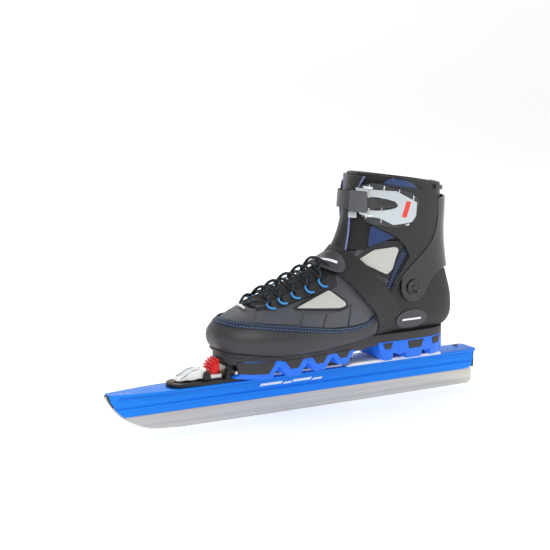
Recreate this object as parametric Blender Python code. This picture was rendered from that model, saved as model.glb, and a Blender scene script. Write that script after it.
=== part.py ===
"""A left touring speed skate: a steel blade in an aluminium runner, a toe binding and a soft boot.

Metres, +Z up. The toe points to -X and the heel to +X; -Y is the outer side, with the buckle.
The ice is at z = 0, and the origin is under the middle of the runner.
"""

import math

import bmesh
import bpy
from mathutils import Matrix, Vector
from mathutils.bvhtree import BVHTree

# Driving dimensions.
RUNNER_LENGTH = 0.462
PLATE_WIDTH = 0.034
PLATE_TOP = 0.0460
PLATE_THICKNESS = 0.0030
TUBE_BOTTOM = 0.0195
TUBE_WIDTH = 0.0160
BLADE_THICKNESS = 0.0014
GAP = 0.0003
ROCKER_RISE = 0.0009
TOE_BAR_X = -0.0935
TOE_BAR_Z = 0.0580
TOE_BAR_RADIUS = 0.0018
SOLE_BOTTOM = 0.0508
CUFF_PIVOT_X = 0.1230
CUFF_PIVOT_Z = 0.1340
BUCKLE_PIN_X = 0.0668
BUCKLE_Z = 0.2310
LEVER_PIN_X = -0.1215
LEVER_PIN_Z = 0.0560
STRAP_ANCHOR_X = 0.0790

# Layers of the boot, as depths below the outer face of the upper: minus is outside it.
UPPER_LAYER = (0.0, 0.0026)
LINER_LAYER = (0.0034, 0.0080)
FOOTBED_LAYER = (0.0084, 0.0118)
PANEL_LAYER = (-0.0013, -0.0006)
LOOP_LAYER = (-0.0015, -0.0003)
RAND_LAYER = (-0.0017, -0.0005)
CUFF_LAYER = (-0.0040, -0.0024)
WING_LAYER = (-0.0056, -0.0043)
BASE_LAYER = (-0.0068, -0.0059)
RATCHET_LAYER = (-0.0088, -0.0071)
LEVER_LAYER = (-0.0101, -0.0074)
INSTEP_LAYER = (-0.0062, -0.0040)
BADGE_LAYER = (-0.0080, -0.0065)
BUCKLE_PIN_LIFT = 0.0100
LACE_RADIUS = 0.0018

for old in list(bpy.data.objects):
    bpy.data.objects.remove(old)


def linear(channel):
    """One sRGB channel, 0 to 1, as linear light."""
    if channel <= 0.04045:
        return channel / 12.92
    return ((channel + 0.055) / 1.055) ** 2.4


def material(name, colour, roughness, metallic=0.0):
    """A Principled material; colour is a six-digit sRGB hex string."""
    made = bpy.data.materials.new(name)
    made.use_nodes = True
    rgb = [linear(int(colour[i : i + 2], 16) / 255) for i in (0, 2, 4)]
    shader = made.node_tree.nodes["Principled BSDF"]
    shader.inputs["Base Color"].default_value = (*rgb, 1)
    shader.inputs["Roughness"].default_value = roughness
    shader.inputs["Metallic"].default_value = metallic
    return made


STEEL = material("polished_steel", "BABDB9", 0.25, 1.0)
ALUMINIUM = material("blue_anodised_aluminium", "0064D0", 0.35, 0.8)
BLACK_PLASTIC = material("black_plastic", "141416", 0.4)
WHITE_PLASTIC = material("white_plastic", "F0F2F0", 0.4)
RED_RUBBER = material("red_rubber", "E01010", 0.5)
BLUE_RUBBER = material("blue_rubber", "0A6CE8", 0.5)
DARK_RUBBER = material("dark_rubber", "303036", 0.6)
GREY_LEATHER = material("grey_synthetic_leather", "4B4D54", 0.6)
BLACK_CUFF = material("black_cuff_plastic", "1C1C1D", 0.4)
NAVY_FABRIC = material("navy_lining", "143769", 0.8)
BLACK_FABRIC = material("black_fabric", "18181A", 0.85)
WHITE_MESH = material("white_mesh", "E2E2DE", 0.8)
SILVER_PLASTIC = material("silver_plastic", "C8D0D6", 0.3, 0.4)
GREY_PLASTIC = material("grey_plastic", "55555A", 0.5)
BLUE_LOOPS = material("blue_webbing", "3CAAF0", 0.7)


def add(name, bm, look, smooth_under=math.radians(35)):
    """Turns a bmesh into a named object and shades its round faces smooth."""
    bmesh.ops.recalc_face_normals(bm, faces=bm.faces)
    mesh = bpy.data.meshes.new(name)
    bm.to_mesh(mesh)
    bm.free()
    mesh.materials.append(look)
    mesh.shade_smooth()
    mesh.set_sharp_from_angle(angle=smooth_under)
    made = bpy.data.objects.new(name, mesh)
    bpy.context.scene.collection.objects.link(made)
    return made


def prism(name, outline, low, high, look, along="Y"):
    """An outline of (x, z) points drawn along Y, of (x, y) along Z, or of (y, z) along X."""
    place = {
        "X": lambda a, b, c: (c, a, b),
        "Y": lambda a, b, c: (a, c, b),
        "Z": lambda a, b, c: (a, b, c),
    }[along]
    bm = bmesh.new()
    face = bm.faces.new([bm.verts.new(place(a, b, low)) for a, b in outline])
    drawn = bmesh.ops.extrude_face_region(bm, geom=[face])["geom"]
    moved = [v for v in drawn if isinstance(v, bmesh.types.BMVert)]
    bmesh.ops.translate(bm, verts=moved, vec=Vector(place(0, 0, high - low)))
    return add(name, bm, look)


def box(name, low, high, look, radius=0.0):
    """A block between two corners, with its edges rounded when a radius is given."""
    bm = bmesh.new()
    size = Vector(high) - Vector(low)
    middle = (Vector(high) + Vector(low)) / 2
    place = Matrix.Translation(middle) @ Matrix.Diagonal((*size, 1))
    bmesh.ops.create_cube(bm, size=1, matrix=place)
    if radius:
        bmesh.ops.bevel(
            bm, geom=bm.edges[:], offset=radius, segments=2, profile=0.5, affect="EDGES", material=-1
        )
    return add(name, bm, look)


def rod(name, start, end, radius, look, segments=20, chamfer=0.0):
    """A round bar between two points, or a disc when they are close together."""
    start, end = Vector(start), Vector(end)
    bm = bmesh.new()
    turn = (end - start).to_track_quat("Z", "Y").to_matrix().to_4x4()
    where = Matrix.Translation((start + end) / 2) @ turn
    length = (end - start).length
    bmesh.ops.create_cone(
        bm, cap_ends=True, segments=segments, radius1=radius, radius2=radius, depth=length, matrix=where
    )
    if chamfer:
        rims = [e for e in bm.edges if any(len(f.verts) > 4 for f in e.link_faces)]
        bmesh.ops.bevel(
            bm, geom=rims, offset=chamfer, segments=2, profile=0.5, affect="EDGES", material=-1
        )
    return add(name, bm, look)


def boolean(target, tool, operation):
    """Cuts target with tool, or keeps what they share; the tool isn't part of the skate."""
    step = target.modifiers.new(tool.name, "BOOLEAN")
    step.operation = operation
    step.solver = "EXACT"
    step.object = tool
    tool.hide_render = True
    tool.display_type = "WIRE"


def cut(target, tool):
    boolean(target, tool, "DIFFERENCE")


def keep(target, tool):
    boolean(target, tool, "INTERSECT")


def join(target, tool):
    boolean(target, tool, "UNION")


def hinge_frame(name, location):
    """An empty on a joint's axis; the pieces that move with the joint are its children."""
    frame = bpy.data.objects.new(name, None)
    frame.location = location
    bpy.context.scene.collection.objects.link(frame)
    return frame


def attach(frame, *pieces):
    """Parents pieces to a frame and moves their origins onto it, leaving their shapes in place."""
    for piece in pieces:
        piece.data.transform(Matrix.Translation(-frame.location))
        piece.parent = frame


def arc(centre_x, centre_z, radius, start, end, steps):
    """Points on a circle, from start to end degrees."""
    angles = [math.radians(start + (end - start) * i / steps) for i in range(steps + 1)]
    return [(centre_x + radius * math.cos(a), centre_z + radius * math.sin(a)) for a in angles]


# ---------------------------------------------------------------- blade
def rocker(x):
    """Height of the running edge, which is curved a little along its length."""
    return ROCKER_RISE * (x / (RUNNER_LENGTH / 2)) ** 2


TIP_CURVE = [
    (-0.2283, 0.0360),
    (-0.2250, 0.0292),
    (-0.2165, 0.0200),
    (-0.2055, 0.0128),
    (-0.1940, 0.0072),
    (-0.1830, 0.0036),
    (-0.1715, 0.0016),
]
edge = [(x / 100, rocker(x / 100)) for x in range(-14, 23, 4)]
heel_end = [(0.2320, 0.0012), (0.2360, 0.0060), (0.2360, 0.0335)]
blade_outline = TIP_CURVE + edge + heel_end + [(-0.2240, 0.0335), (-0.2268, 0.0360)]
half_blade = BLADE_THICKNESS / 2
blade = prism("blade", blade_outline, -half_blade, half_blade, STEEL)

# ---------------------------------------------------------------- runner
half_plate = PLATE_WIDTH / 2
half_tube = TUBE_WIDTH / 2
plate_under = PLATE_TOP - PLATE_THICKNESS
slot = half_blade + GAP
SLOT_TOP = 0.0345
CHAMBER_TOP = 0.0415
CHAMBER_BOTTOM = 0.0365
half_chamber = 0.0050
right_side = [
    (slot, TUBE_BOTTOM),
    (0.0040, TUBE_BOTTOM),
    (0.0062, 0.0225),
    (0.0073, 0.0285),
    (0.0070, 0.0298),
    (0.0070, 0.0308),
    (half_tube, 0.0320),
    (half_tube, 0.0385),
    (0.0072, plate_under - 0.0008),
    (0.0085, plate_under),
    (half_plate, plate_under + 0.0006),
    (half_plate, PLATE_TOP - 0.0006),
    (half_plate - 0.0006, PLATE_TOP),
]
left_side = [(-y, z) for y, z in reversed(right_side)]
section = right_side + left_side + [(-slot, SLOT_TOP), (slot, SLOT_TOP)]
runner = prism("runner_tube", section, -0.2400, 0.2400, ALUMINIUM, "X")
side_outline = [
    (-0.2310, PLATE_TOP + 0.001),
    (-0.2302, 0.0410),
    (-0.2240, 0.0300),
    (-0.2155, 0.0210),
    (-0.2140, TUBE_BOTTOM - 0.001),
    (0.2255, TUBE_BOTTOM - 0.001),
    (0.2300, 0.0222),
    (0.2322, 0.0262),
    (0.2330, 0.0310),
    (0.2315, 0.0380),
    (0.2310, PLATE_TOP + 0.001),
]
keep(runner, prism("runner_side_form", side_outline, -0.030, 0.030, ALUMINIUM))
plan_half = [(-0.2400, 0.0062), (-0.1680, half_plate), (0.2270, half_plate), (0.2310, 0.0125)]
plan_outline = plan_half + [(x, -y) for x, y in reversed(plan_half)]
keep(runner, prism("runner_plan_form", plan_outline, 0.010, 0.060, ALUMINIUM, "Z"))
chamber_low = (-0.2500, -half_chamber, CHAMBER_BOTTOM)
chamber_high = (0.2500, half_chamber, CHAMBER_TOP)
chamber = box("runner_chamber", chamber_low, chamber_high, ALUMINIUM)
cut(runner, chamber)

PIN_HEIGHT = 0.0242
PIN_RADIUS = 0.0011
for number, x in enumerate((-0.1660, -0.0370, 0.0930, 0.2150), start=1):
    hole_ends = [(x, y, PIN_HEIGHT) for y in (-0.0120, 0.0120)]
    hole = rod(f"pin_hole_{number}", *hole_ends, PIN_RADIUS + GAP, STEEL, 12)
    cut(runner, hole)
    cut(blade, hole)
    pin_ends = [(x, y, PIN_HEIGHT) for y in (-0.0066, 0.0066)]
    rod(f"blade_pin_{number}", *pin_ends, PIN_RADIUS, STEEL, 12)

tip_slot = box("runner_tip_slot", (-0.2500, -slot, 0.0100), (-0.2235, slot, 0.0363), ALUMINIUM)
cut(runner, tip_slot)

# The end plugs fill the runner's chamber and cover its cut ends.
stub = half_chamber - GAP
stub_low = CHAMBER_BOTTOM + GAP
stub_high = CHAMBER_TOP - GAP
plug_low = (-0.2300, -stub, stub_low)
plug_high = (-0.2100, stub, stub_high)
front_plug = box("front_end_plug", plug_low, plug_high, BLACK_PLASTIC)
front_face = [(-0.2325, 0.0448), (-0.2322, 0.0405), (-0.2300, 0.0366), (-0.2282, 0.0366)]
front_face += [(-0.2306, 0.0410), (-0.2312, 0.0448)]
join(front_plug, prism("front_plug_face", front_face, -0.0055, 0.0055, BLACK_PLASTIC))
plug_low = (0.2180, -stub, stub_low)
plug_high = (0.2345, stub, stub_high)
rear_plug = box("rear_end_plug", plug_low, plug_high, BLACK_PLASTIC)
rear_face = [(0.2335, 0.0424), (0.2335, 0.0345), (0.2345, 0.0338)]
rear_face += [(0.2352, 0.0345), (0.2352, 0.0424)]
join(rear_plug, prism("rear_plug_face", rear_face, -0.0070, 0.0070, BLACK_PLASTIC))


def screw(name, x, y, top, radius, depth):
    """A countersunk screw with a cross recess, from its flat head down."""
    head = rod(name, (x, y, top - depth), (x, y, top), radius, STEEL, 16, 0.0003)
    for turn, half in (("a", (radius * 0.6, 0.0004)), ("b", (0.0004, radius * 0.6))):
        low = (x - half[0], y - half[1], top - 0.0007)
        high = (x + half[0], y + half[1], top + 0.001)
        cut(head, box(f"{name}_slot_{turn}", low, high, STEEL))
    return head


PLATE_SCREWS = {"flange_screw": (0.2195, 0.0090)}
for name, (x, y) in PLATE_SCREWS.items():
    cut(runner, rod(f"{name}_hole", (x, y, 0.040), (x, y, 0.050), 0.0026 + GAP, STEEL, 16))
    screw(name, x, y, PLATE_TOP + 0.0003, 0.0026, 0.0028)

# ---------------------------------------------------------------- binding
base_low = PLATE_TOP + GAP
BASE_TOP = 0.0502
base_half = 0.0165
nose = arc(-0.1520, 0.0, 0.0115, 110, 250, 8)
base_plan = nose + [(-0.1250, -base_half), (-0.0700, -base_half)]
base_plan += [(-0.0700, base_half), (-0.1250, base_half)]
binding_base = prism("binding_base", base_plan, base_low, BASE_TOP, BLACK_PLASTIC, "Z")
BASE_SCREWS = {"base_screw_front": (-0.1575, 0.0), "base_screw_rear": (-0.0765, 0.0)}
for name, (x, y) in BASE_SCREWS.items():
    cut(binding_base, rod(f"{name}_hole", (x, y, 0.0477), (x, y, 0.055), 0.0036 + GAP, STEEL, 16))
    screw(name, x, y, BASE_TOP, 0.0036, 0.0022)

# Two ears carry the lever's pin; two cheeks hold the ends of the toe bar's middle.
for side, y in (("lateral", -0.0125), ("medial", 0.0095)):
    ear_low = (-0.1255, y, BASE_TOP - 0.001)
    ear_high = (-0.1175, y + 0.0030, 0.0592)
    join(binding_base, box(f"lever_ear_{side}", ear_low, ear_high, BLACK_PLASTIC))
CHEEK_RADIUS = 0.0090
for side, y in (("lateral", -0.0160), ("medial", 0.0115)):
    round_top = arc(TOE_BAR_X, TOE_BAR_Z, CHEEK_RADIUS, 0, 180, 10)
    foot = [(TOE_BAR_X + way * CHEEK_RADIUS, BASE_TOP - 0.001) for way in (-1, 1)]
    join(binding_base, prism(f"cheek_{side}", round_top + foot, y, y + 0.0045, BLACK_PLASTIC))
bar_room = TOE_BAR_RADIUS + GAP
seat_ends = [(TOE_BAR_X, y, TOE_BAR_Z) for y in (-0.0300, 0.0300)]
cut(binding_base, rod("toe_bar_seat", *seat_ends, bar_room, STEEL, 16))
entry_low = (TOE_BAR_X - bar_room, -0.0300, TOE_BAR_Z)
entry_high = (TOE_BAR_X + bar_room, 0.0300, TOE_BAR_Z + 0.0300)
cut(binding_base, box("toe_bar_entry", entry_low, entry_high, STEEL))
LEVER_PIN_RADIUS = 0.0013
hole_ends = [(LEVER_PIN_X, y, LEVER_PIN_Z) for y in (-0.0200, 0.0200)]
pin_hole = rod("lever_pin_hole", *hole_ends, LEVER_PIN_RADIUS + GAP, STEEL, 16)
cut(binding_base, pin_hole)
pin_ends = [(LEVER_PIN_X, y, LEVER_PIN_Z) for y in (-0.0130, 0.0130)]
rod("lever_pin", *pin_ends, LEVER_PIN_RADIUS, STEEL, 16)

# The lever's front tip is lifted to free the boot.
lever_frame = hinge_frame("binding_lever_axis", (LEVER_PIN_X, 0, LEVER_PIN_Z))
lever_side = [
    (-0.1530, 0.0518),
    (-0.1490, 0.0545),
    (-0.1400, 0.0588),
    (-0.1320, 0.0612),
    (-0.1230, 0.0604),
    (-0.1186, 0.0575),
    (-0.1188, 0.0540),
    (-0.1230, 0.0521),
    (-0.1400, 0.0516),
]
lever = prism("binding_lever", lever_side, -0.0090, 0.0090, WHITE_PLASTIC)
lever_plan = [(-0.1560, -0.0040), (-0.1300, -0.0092), (-0.1000, -0.0092)]
lever_plan += [(x, -y) for x, y in reversed(lever_plan)]
keep(lever, prism("lever_plan_form", lever_plan, 0.04, 0.07, STEEL, "Z"))
cut(lever, pin_hole)

# The rubber fan that the toe of the boot presses as the heel lifts.
RIBS = 5
fan = [(-0.1165, 0.0548), (-0.1034, 0.0548), (-0.1048, 0.0690), (-0.1070, 0.0705)]
for rib in range(RIBS - 1):
    share = rib / (RIBS - 1)
    fan.append((-0.1095 - 0.0060 * share, 0.0695 - 0.0115 * share))
    fan.append((-0.1080 - 0.0065 * share, 0.0682 - 0.0115 * share))
prism("flexor", fan, -0.0095, 0.0095, RED_RUBBER)
box("flexor_rim", (-0.1175, -0.0105, 0.0511), (-0.1032, 0.0105, 0.0545), WHITE_PLASTIC, 0.0006)

# The latch hooks over the toe bar; the lever draws it forward against its spring.
latch_frame = hinge_frame("latch_axis", (TOE_BAR_X, 0, 0.0540))
hook = arc(TOE_BAR_X, TOE_BAR_Z, 0.0052, 20, 150, 8) + [
    (TOE_BAR_X - 0.0058, 0.0588),
    (TOE_BAR_X - 0.0058, 0.0511),
    (TOE_BAR_X - 0.0026, 0.0511),
    (TOE_BAR_X - 0.0026, 0.0580),
    (TOE_BAR_X - 0.0018, 0.0600),
    (TOE_BAR_X, 0.0607),
    (TOE_BAR_X + 0.0020, 0.0600),
]
latch = prism("latch_jaw", hook, -0.0085, 0.0085, STEEL)

# A rail guides the sole between the binding and the heel plate.
box("binding_rail", (-0.0697, -0.0120, base_low), (0.0480, 0.0120, 0.0500), BLACK_PLASTIC, 0.0008)
heel_plate = box("heel_plate", (0.0483, -0.0205, base_low), (0.1770, 0.0205, 0.0500), WHITE_PLASTIC, 0.0012)
for number, (x, y) in enumerate(((0.0640, 0.0), (0.1640, 0.0)), start=1):
    name = f"heel_plate_screw_{number}"
    cut(heel_plate, rod(f"{name}_hole", (x, y, 0.0476), (x, y, 0.055), 0.0036 + GAP, STEEL, 16))
    screw(name, x, y, 0.0499, 0.0036, 0.0019)

# ---------------------------------------------------------------- form of the boot
# Each ring: top x, top z, bottom x, bottom z, half width, middle y, the share of its height where
# it is widest, the roundness of its upper half, and how far its crest leans to the inner side.
# The rings fan round from the toe cap, upright, to the collar, flat.
RINGS = [
    (-0.1065, 0.0985, -0.1065, 0.0890, 0.0100, 0.0040, 0.50, 2.0, 0.000),
    (-0.1015, 0.1065, -0.1020, 0.0800, 0.0205, 0.0038, 0.48, 2.0, 0.000),
    (-0.0915, 0.1135, -0.0935, 0.0730, 0.0305, 0.0032, 0.45, 2.0, 0.001),
    (-0.0745, 0.1225, -0.0765, 0.0690, 0.0405, 0.0020, 0.42, 1.9, 0.002),
    (-0.0480, 0.1320, -0.0490, 0.0665, 0.0470, 0.0000, 0.38, 1.75, 0.003),
    (-0.0190, 0.1430, -0.0180, 0.0665, 0.0485, -0.0010, 0.36, 1.65, 0.004),
    (0.0100, 0.1555, 0.0140, 0.0670, 0.0460, -0.0010, 0.38, 1.60, 0.004),
    (0.0320, 0.1680, 0.0520, 0.0695, 0.0415, -0.0005, 0.42, 1.60, 0.003),
    (0.0450, 0.1810, 0.0980, 0.0735, 0.0375, 0.0000, 0.46, 1.70, 0.001),
    (0.0515, 0.1940, 0.1520, 0.0740, 0.0360, 0.0000, 0.50, 1.85, 0.000),
    (0.0560, 0.2060, 0.1870, 0.0850, 0.0365, 0.0000, 0.52, 2.0, 0.000),
    (0.0590, 0.2180, 0.1905, 0.1120, 0.0380, 0.0000, 0.54, 2.1, 0.000),
    (0.0615, 0.2300, 0.1800, 0.1470, 0.0400, 0.0000, 0.55, 2.1, 0.000),
    (0.0635, 0.2420, 0.1738, 0.1850, 0.0415, 0.0000, 0.55, 2.1, 0.000),
    (0.0655, 0.2560, 0.1735, 0.2200, 0.0425, 0.0000, 0.54, 2.1, 0.000),
    (0.0665, 0.2700, 0.1725, 0.2520, 0.0430, 0.0000, 0.53, 2.1, 0.000),
    (0.0665, 0.2850, 0.1700, 0.2800, 0.0430, 0.0000, 0.53, 2.1, 0.000),
]
AROUND = 20
BETWEEN = 2
SOLE_ROUNDNESS = 3.0


def between(rows, position):
    """A smooth (Catmull-Rom) reading of the rows at a fractional position."""
    index = min(int(position), len(rows) - 2)
    t = position - index
    a, b, c, d = (rows[max(0, min(len(rows) - 1, index + k))] for k in (-1, 0, 1, 2))
    return [
        q
        + 0.5 * (r - p) * t
        + 0.5 * (2 * p - 5 * q + 4 * r - s) * t**2
        + 0.5 * (3 * q - p - 3 * r + s) * t**3
        for p, q, r, s in zip(a, b, c, d)
    ]


def ring_points(row):
    """One ring of the form, starting at its top point and going round by the outer side."""
    top_x, top_z, low_x, low_z, half, middle_y, belly, roundness, lean = row
    low = Vector((low_x, middle_y, low_z))
    high = Vector((top_x, middle_y, top_z))
    middle = low.lerp(high, belly)
    points = []
    for step in range(AROUND):
        angle = 2 * math.pi * step / AROUND
        up, side = math.cos(angle), -math.sin(angle)
        power = 2 / (roundness if up > 0 else SOLE_ROUNDNESS)
        rise = abs(up) ** power
        spread = math.copysign(abs(side) ** power, side)
        end = high if up > 0 else low
        tilt = lean * rise if up > 0 else 0
        points.append(middle + (end - middle) * rise + Vector((0, half * spread + tilt, 0)))
    return points


def form_skin(depth):
    """The boot's outer face, moved in by depth, as one bmesh that is open at the collar."""
    bm = bmesh.new()
    count = (len(RINGS) - 1) * BETWEEN + 1
    rings = [
        [bm.verts.new(p) for p in ring_points(between(RINGS, i / BETWEEN))] for i in range(count)
    ]
    for near, far in zip(rings, rings[1:]):
        for i in range(AROUND):
            j = (i + 1) % AROUND
            bm.faces.new((near[i], near[j], far[j], far[i]))
    tip = bm.verts.new(sum((v.co for v in rings[0]), Vector()) / AROUND - Vector((0.0012, 0, 0)))
    for i in range(AROUND):
        bm.faces.new((tip, rings[0][(i + 1) % AROUND], rings[0][i]))
    bmesh.ops.recalc_face_normals(bm, faces=bm.faces)
    if sum(f.normal.x * (f.calc_center_median().x - 0.04) for f in bm.faces) < 0:
        bmesh.ops.reverse_faces(bm, faces=bm.faces)
    bm.normal_update()
    moves = [(v, v.normal * -depth) for v in bm.verts]
    for vert, move in moves:
        vert.co += move
    return bm


def layer(name, depths, look):
    """A wall of the boot between two depths, closed at the toe and open at the collar."""
    outer = form_skin(depths[0])
    inner = form_skin(depths[1])
    mesh = bpy.data.meshes.new(name)
    inner.to_mesh(mesh)
    inner.free()
    outer_rim = [e for e in outer.edges if e.is_boundary]
    known = set(outer.verts)
    outer.from_mesh(mesh)
    bpy.data.meshes.remove(mesh)
    inner_verts = set(outer.verts) - known
    inner_faces = [f for f in outer.faces if f.verts[0] in inner_verts]
    inner_rim = [e for e in outer.edges if e.is_boundary and e.verts[0] in inner_verts]
    bmesh.ops.reverse_faces(outer, faces=inner_faces)
    bmesh.ops.bridge_loops(outer, edges=outer_rim + inner_rim)
    return add(name, outer, look)


def side_region(name, outline, low=-0.1, high=0.1):
    """A block seen as this outline from the side."""
    return prism(name, outline, low, high, STEEL)


outer_form = form_skin(0)
outer_tree = BVHTree.FromBMesh(outer_form)
outer_form.free()


def above(x, y, lift):
    """A point over the instep at this x and y, lift metres above the upper."""
    hit = outer_tree.ray_cast(Vector((x, y, 0.4)), Vector((0, 0, -1)))
    return hit[0] + hit[1] * lift


# ---------------------------------------------------------------- upper, liner and tongue
# Everything soft is split for the cuff's motion along a circle about its pivot, with a wedge
# left open in front and behind that the cuff moves through.
SPLIT_RADIUS = 0.0580


def beyond(angle, radius):
    """A point this far from the cuff's pivot, at this many degrees from +X towards +Z."""
    turn = math.radians(angle)
    return (CUFF_PIVOT_X + radius * math.cos(turn), CUFF_PIVOT_Z + radius * math.sin(turn))


FRONT_STOP = 143
FRONT_START = 131
REAR_STOP = 6
REAR_START = 12
FAR = 0.35
boot_side = [(-0.2, 0.0), (0.3, 0.0), beyond(REAR_STOP, FAR)]
boot_side += arc(CUFF_PIVOT_X, CUFF_PIVOT_Z, SPLIT_RADIUS, REAR_STOP, FRONT_STOP, 20)
boot_side += [beyond(FRONT_STOP, FAR), (-0.2, 0.3)]
TOP_LINE = [(0.02, 0.2660), (0.060, 0.2660), (0.075, 0.2640), (0.110, 0.2575), (0.150, 0.2515)]
TOP_LINE += [(0.175, 0.2505), (0.230, 0.2480)]
cuff_side = arc(CUFF_PIVOT_X, CUFF_PIVOT_Z, SPLIT_RADIUS + 0.0015, REAR_START, FRONT_START, 20)
cuff_side += [beyond(FRONT_START, 0.12)] + TOP_LINE + [(0.230, beyond(REAR_START, 0.109)[1])]

boot_region = side_region("boot_region", boot_side)
cuff_region = side_region("cuff_region", cuff_side)
throat = [(-0.0760, 0.0100), (-0.0700, 0.0145), (-0.0400, 0.0175), (0.0500, 0.0230), (0.0500, -0.0230)]
throat += [(-0.0400, -0.0175), (-0.0700, -0.0145), (-0.0760, -0.0100)]


def widened(outline, margin):
    """The outline moved out sideways, and forward at its front end."""
    return [
        (x - margin if x < 0 else x + margin, y + math.copysign(margin, y)) for x, y in outline
    ]


upper = layer("boot_upper", UPPER_LAYER, GREY_LEATHER)
keep(upper, boot_region)
cut(upper, prism("throat_opening", throat, 0.10, 0.30, STEEL, "Z"))

TONGUE_MARGIN = 0.0070
tongue_room = widened(throat, TONGUE_MARGIN + 0.0006)
liner = layer("inner_liner", LINER_LAYER, NAVY_FABRIC)
keep(liner, boot_region)
cut(liner, prism("tongue_room", tongue_room, 0.105, 0.30, STEEL, "Z"))

tongue = layer("tongue", LINER_LAYER, BLACK_FABRIC)
keep(tongue, boot_region)
keep(tongue, prism("tongue_plan", widened(throat, TONGUE_MARGIN), 0.106, 0.30, STEEL, "Z"))

collar = layer("collar_padding", (0.0, 0.0080), NAVY_FABRIC)
keep(collar, cuff_region)
COLLAR_FRONT = 0.0740
cut(collar, box("collar_front_room", (0.0, -0.1, 0.1), (COLLAR_FRONT, 0.1, 0.4), STEEL))
tongue_top = layer("tongue_top", (0.0, 0.0080), BLACK_FABRIC)
keep(tongue_top, cuff_region)
tongue_room_high = (COLLAR_FRONT - 0.0006, 0.1, 0.4)
keep(tongue_top, box("tongue_top_room", (0.0, -0.1, 0.1), tongue_room_high, STEEL))

footbed = layer("footbed", FOOTBED_LAYER, BLACK_FABRIC)
keep(footbed, box("footbed_room", (-0.2, -0.1, 0.0), (0.2, 0.1, 0.0840), STEEL))

# ---------------------------------------------------------------- sole
SOLE_PLAN = [
    (-0.1035, -0.0040),
    (-0.0990, -0.0165),
    (-0.0885, -0.0280),
    (-0.0700, -0.0385),
    (-0.0400, -0.0445),
    (-0.0050, -0.0430),
    (0.0350, -0.0370),
    (0.0750, -0.0330),
    (0.1250, -0.0335),
    (0.1580, -0.0300),
    (0.1760, -0.0210),
    (0.1840, -0.0080),
    (0.1840, 0.0080),
    (0.1760, 0.0210),
    (0.1580, 0.0300),
    (0.1250, 0.0330),
    (0.0750, 0.0300),
    (0.0350, 0.0330),
    (-0.0050, 0.0410),
    (-0.0400, 0.0450),
    (-0.0700, 0.0405),
    (-0.0885, 0.0315),
    (-0.0990, 0.0205),
    (-0.1035, 0.0090),
]
sole_plan = prism("sole_plan_form", SOLE_PLAN, 0.03, 0.12, STEEL, "Z")
last_form = form_skin(-0.0004)
bmesh.ops.holes_fill(last_form, edges=[e for e in last_form.edges if e.is_boundary])
last = add("last_form", last_form, STEEL)

# Blocks under the forefoot: a long toe block and three wedges, with a dark core inside a blue skin.
BLOCK_TOP = 0.0640
SKIN = 0.0034
toe_block = [(-0.0990, SOLE_BOTTOM), (-0.0600, SOLE_BOTTOM), (-0.0515, BLOCK_TOP)]
wedges = [
    [(-0.0460, BLOCK_TOP), (-0.0385, SOLE_BOTTOM), (-0.0270, SOLE_BOTTOM), (-0.0195, BLOCK_TOP)],
    [(-0.0120, BLOCK_TOP), (-0.0055, 0.0525), (0.0070, 0.0525), (0.0125, BLOCK_TOP)],
    [(0.0205, BLOCK_TOP), (0.0265, 0.0535), (0.0385, 0.0550), (0.0465, 0.0665)],
]
tread_outline = list(toe_block)
for wedge in wedges:
    tread_outline += wedge
tread_top = []
for wedge in reversed(wedges):
    a, b, c, d = wedge
    tread_top += [(d[0] - 0.0010, d[1] + 0.0022), (d[0] - 0.0042, d[1] + 0.0022)]
    tread_top += [(c[0] - 0.0020, c[1] + SKIN), (b[0] + 0.0020, b[1] + SKIN)]
    tread_top += [(a[0] + 0.0042, a[1] + 0.0022), (a[0] + 0.0010, a[1] + 0.0022)]
tread_top += [(-0.0525, BLOCK_TOP + 0.0022), (-0.0557, BLOCK_TOP + 0.0022)]
tread_top += [(-0.0630, SOLE_BOTTOM + 0.0065), (-0.0950, SOLE_BOTTOM + 0.0065)]
forefoot_tread = prism("forefoot_tread", tread_outline + tread_top, -0.05, 0.05, BLUE_RUBBER)
keep(forefoot_tread, sole_plan)
core_low = [(x, z + GAP) for x, z in reversed(tread_top)]
core_outline = [(-0.0990, SOLE_BOTTOM + 0.0068)] + core_low
core_outline += [(0.0480, 0.0685), (0.0800, 0.0700), (0.1100, 0.0715), (0.1870, 0.0715)]
core_outline += [(0.1870, 0.0820), (-0.1090, 0.0800), (-0.1090, 0.0700), (-0.1040, 0.0640)]
sole_core = prism("sole_core", core_outline, -0.05, 0.05, DARK_RUBBER)
keep(sole_core, sole_plan)
cut(sole_core, last)

# The heel block is a blue crown with two openings low in its sides.
heel_outline = [
    (0.0800, 0.0697),
    (0.0830, 0.0580),
    (0.0880, SOLE_BOTTOM),
    (0.0990, SOLE_BOTTOM),
    (0.1020, 0.0575),
    (0.1170, 0.0575),
    (0.1200, SOLE_BOTTOM),
    (0.1400, SOLE_BOTTOM),
    (0.1425, 0.0570),
    (0.1540, 0.0570),
    (0.1565, SOLE_BOTTOM),
    (0.1700, SOLE_BOTTOM),
    (0.1790, 0.0640),
    (0.1810, 0.0712),
    (0.1100, 0.0712),
]
heel_tread = prism("heel_tread", heel_outline, -0.05, 0.05, BLUE_RUBBER)
keep(heel_tread, sole_plan)

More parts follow.
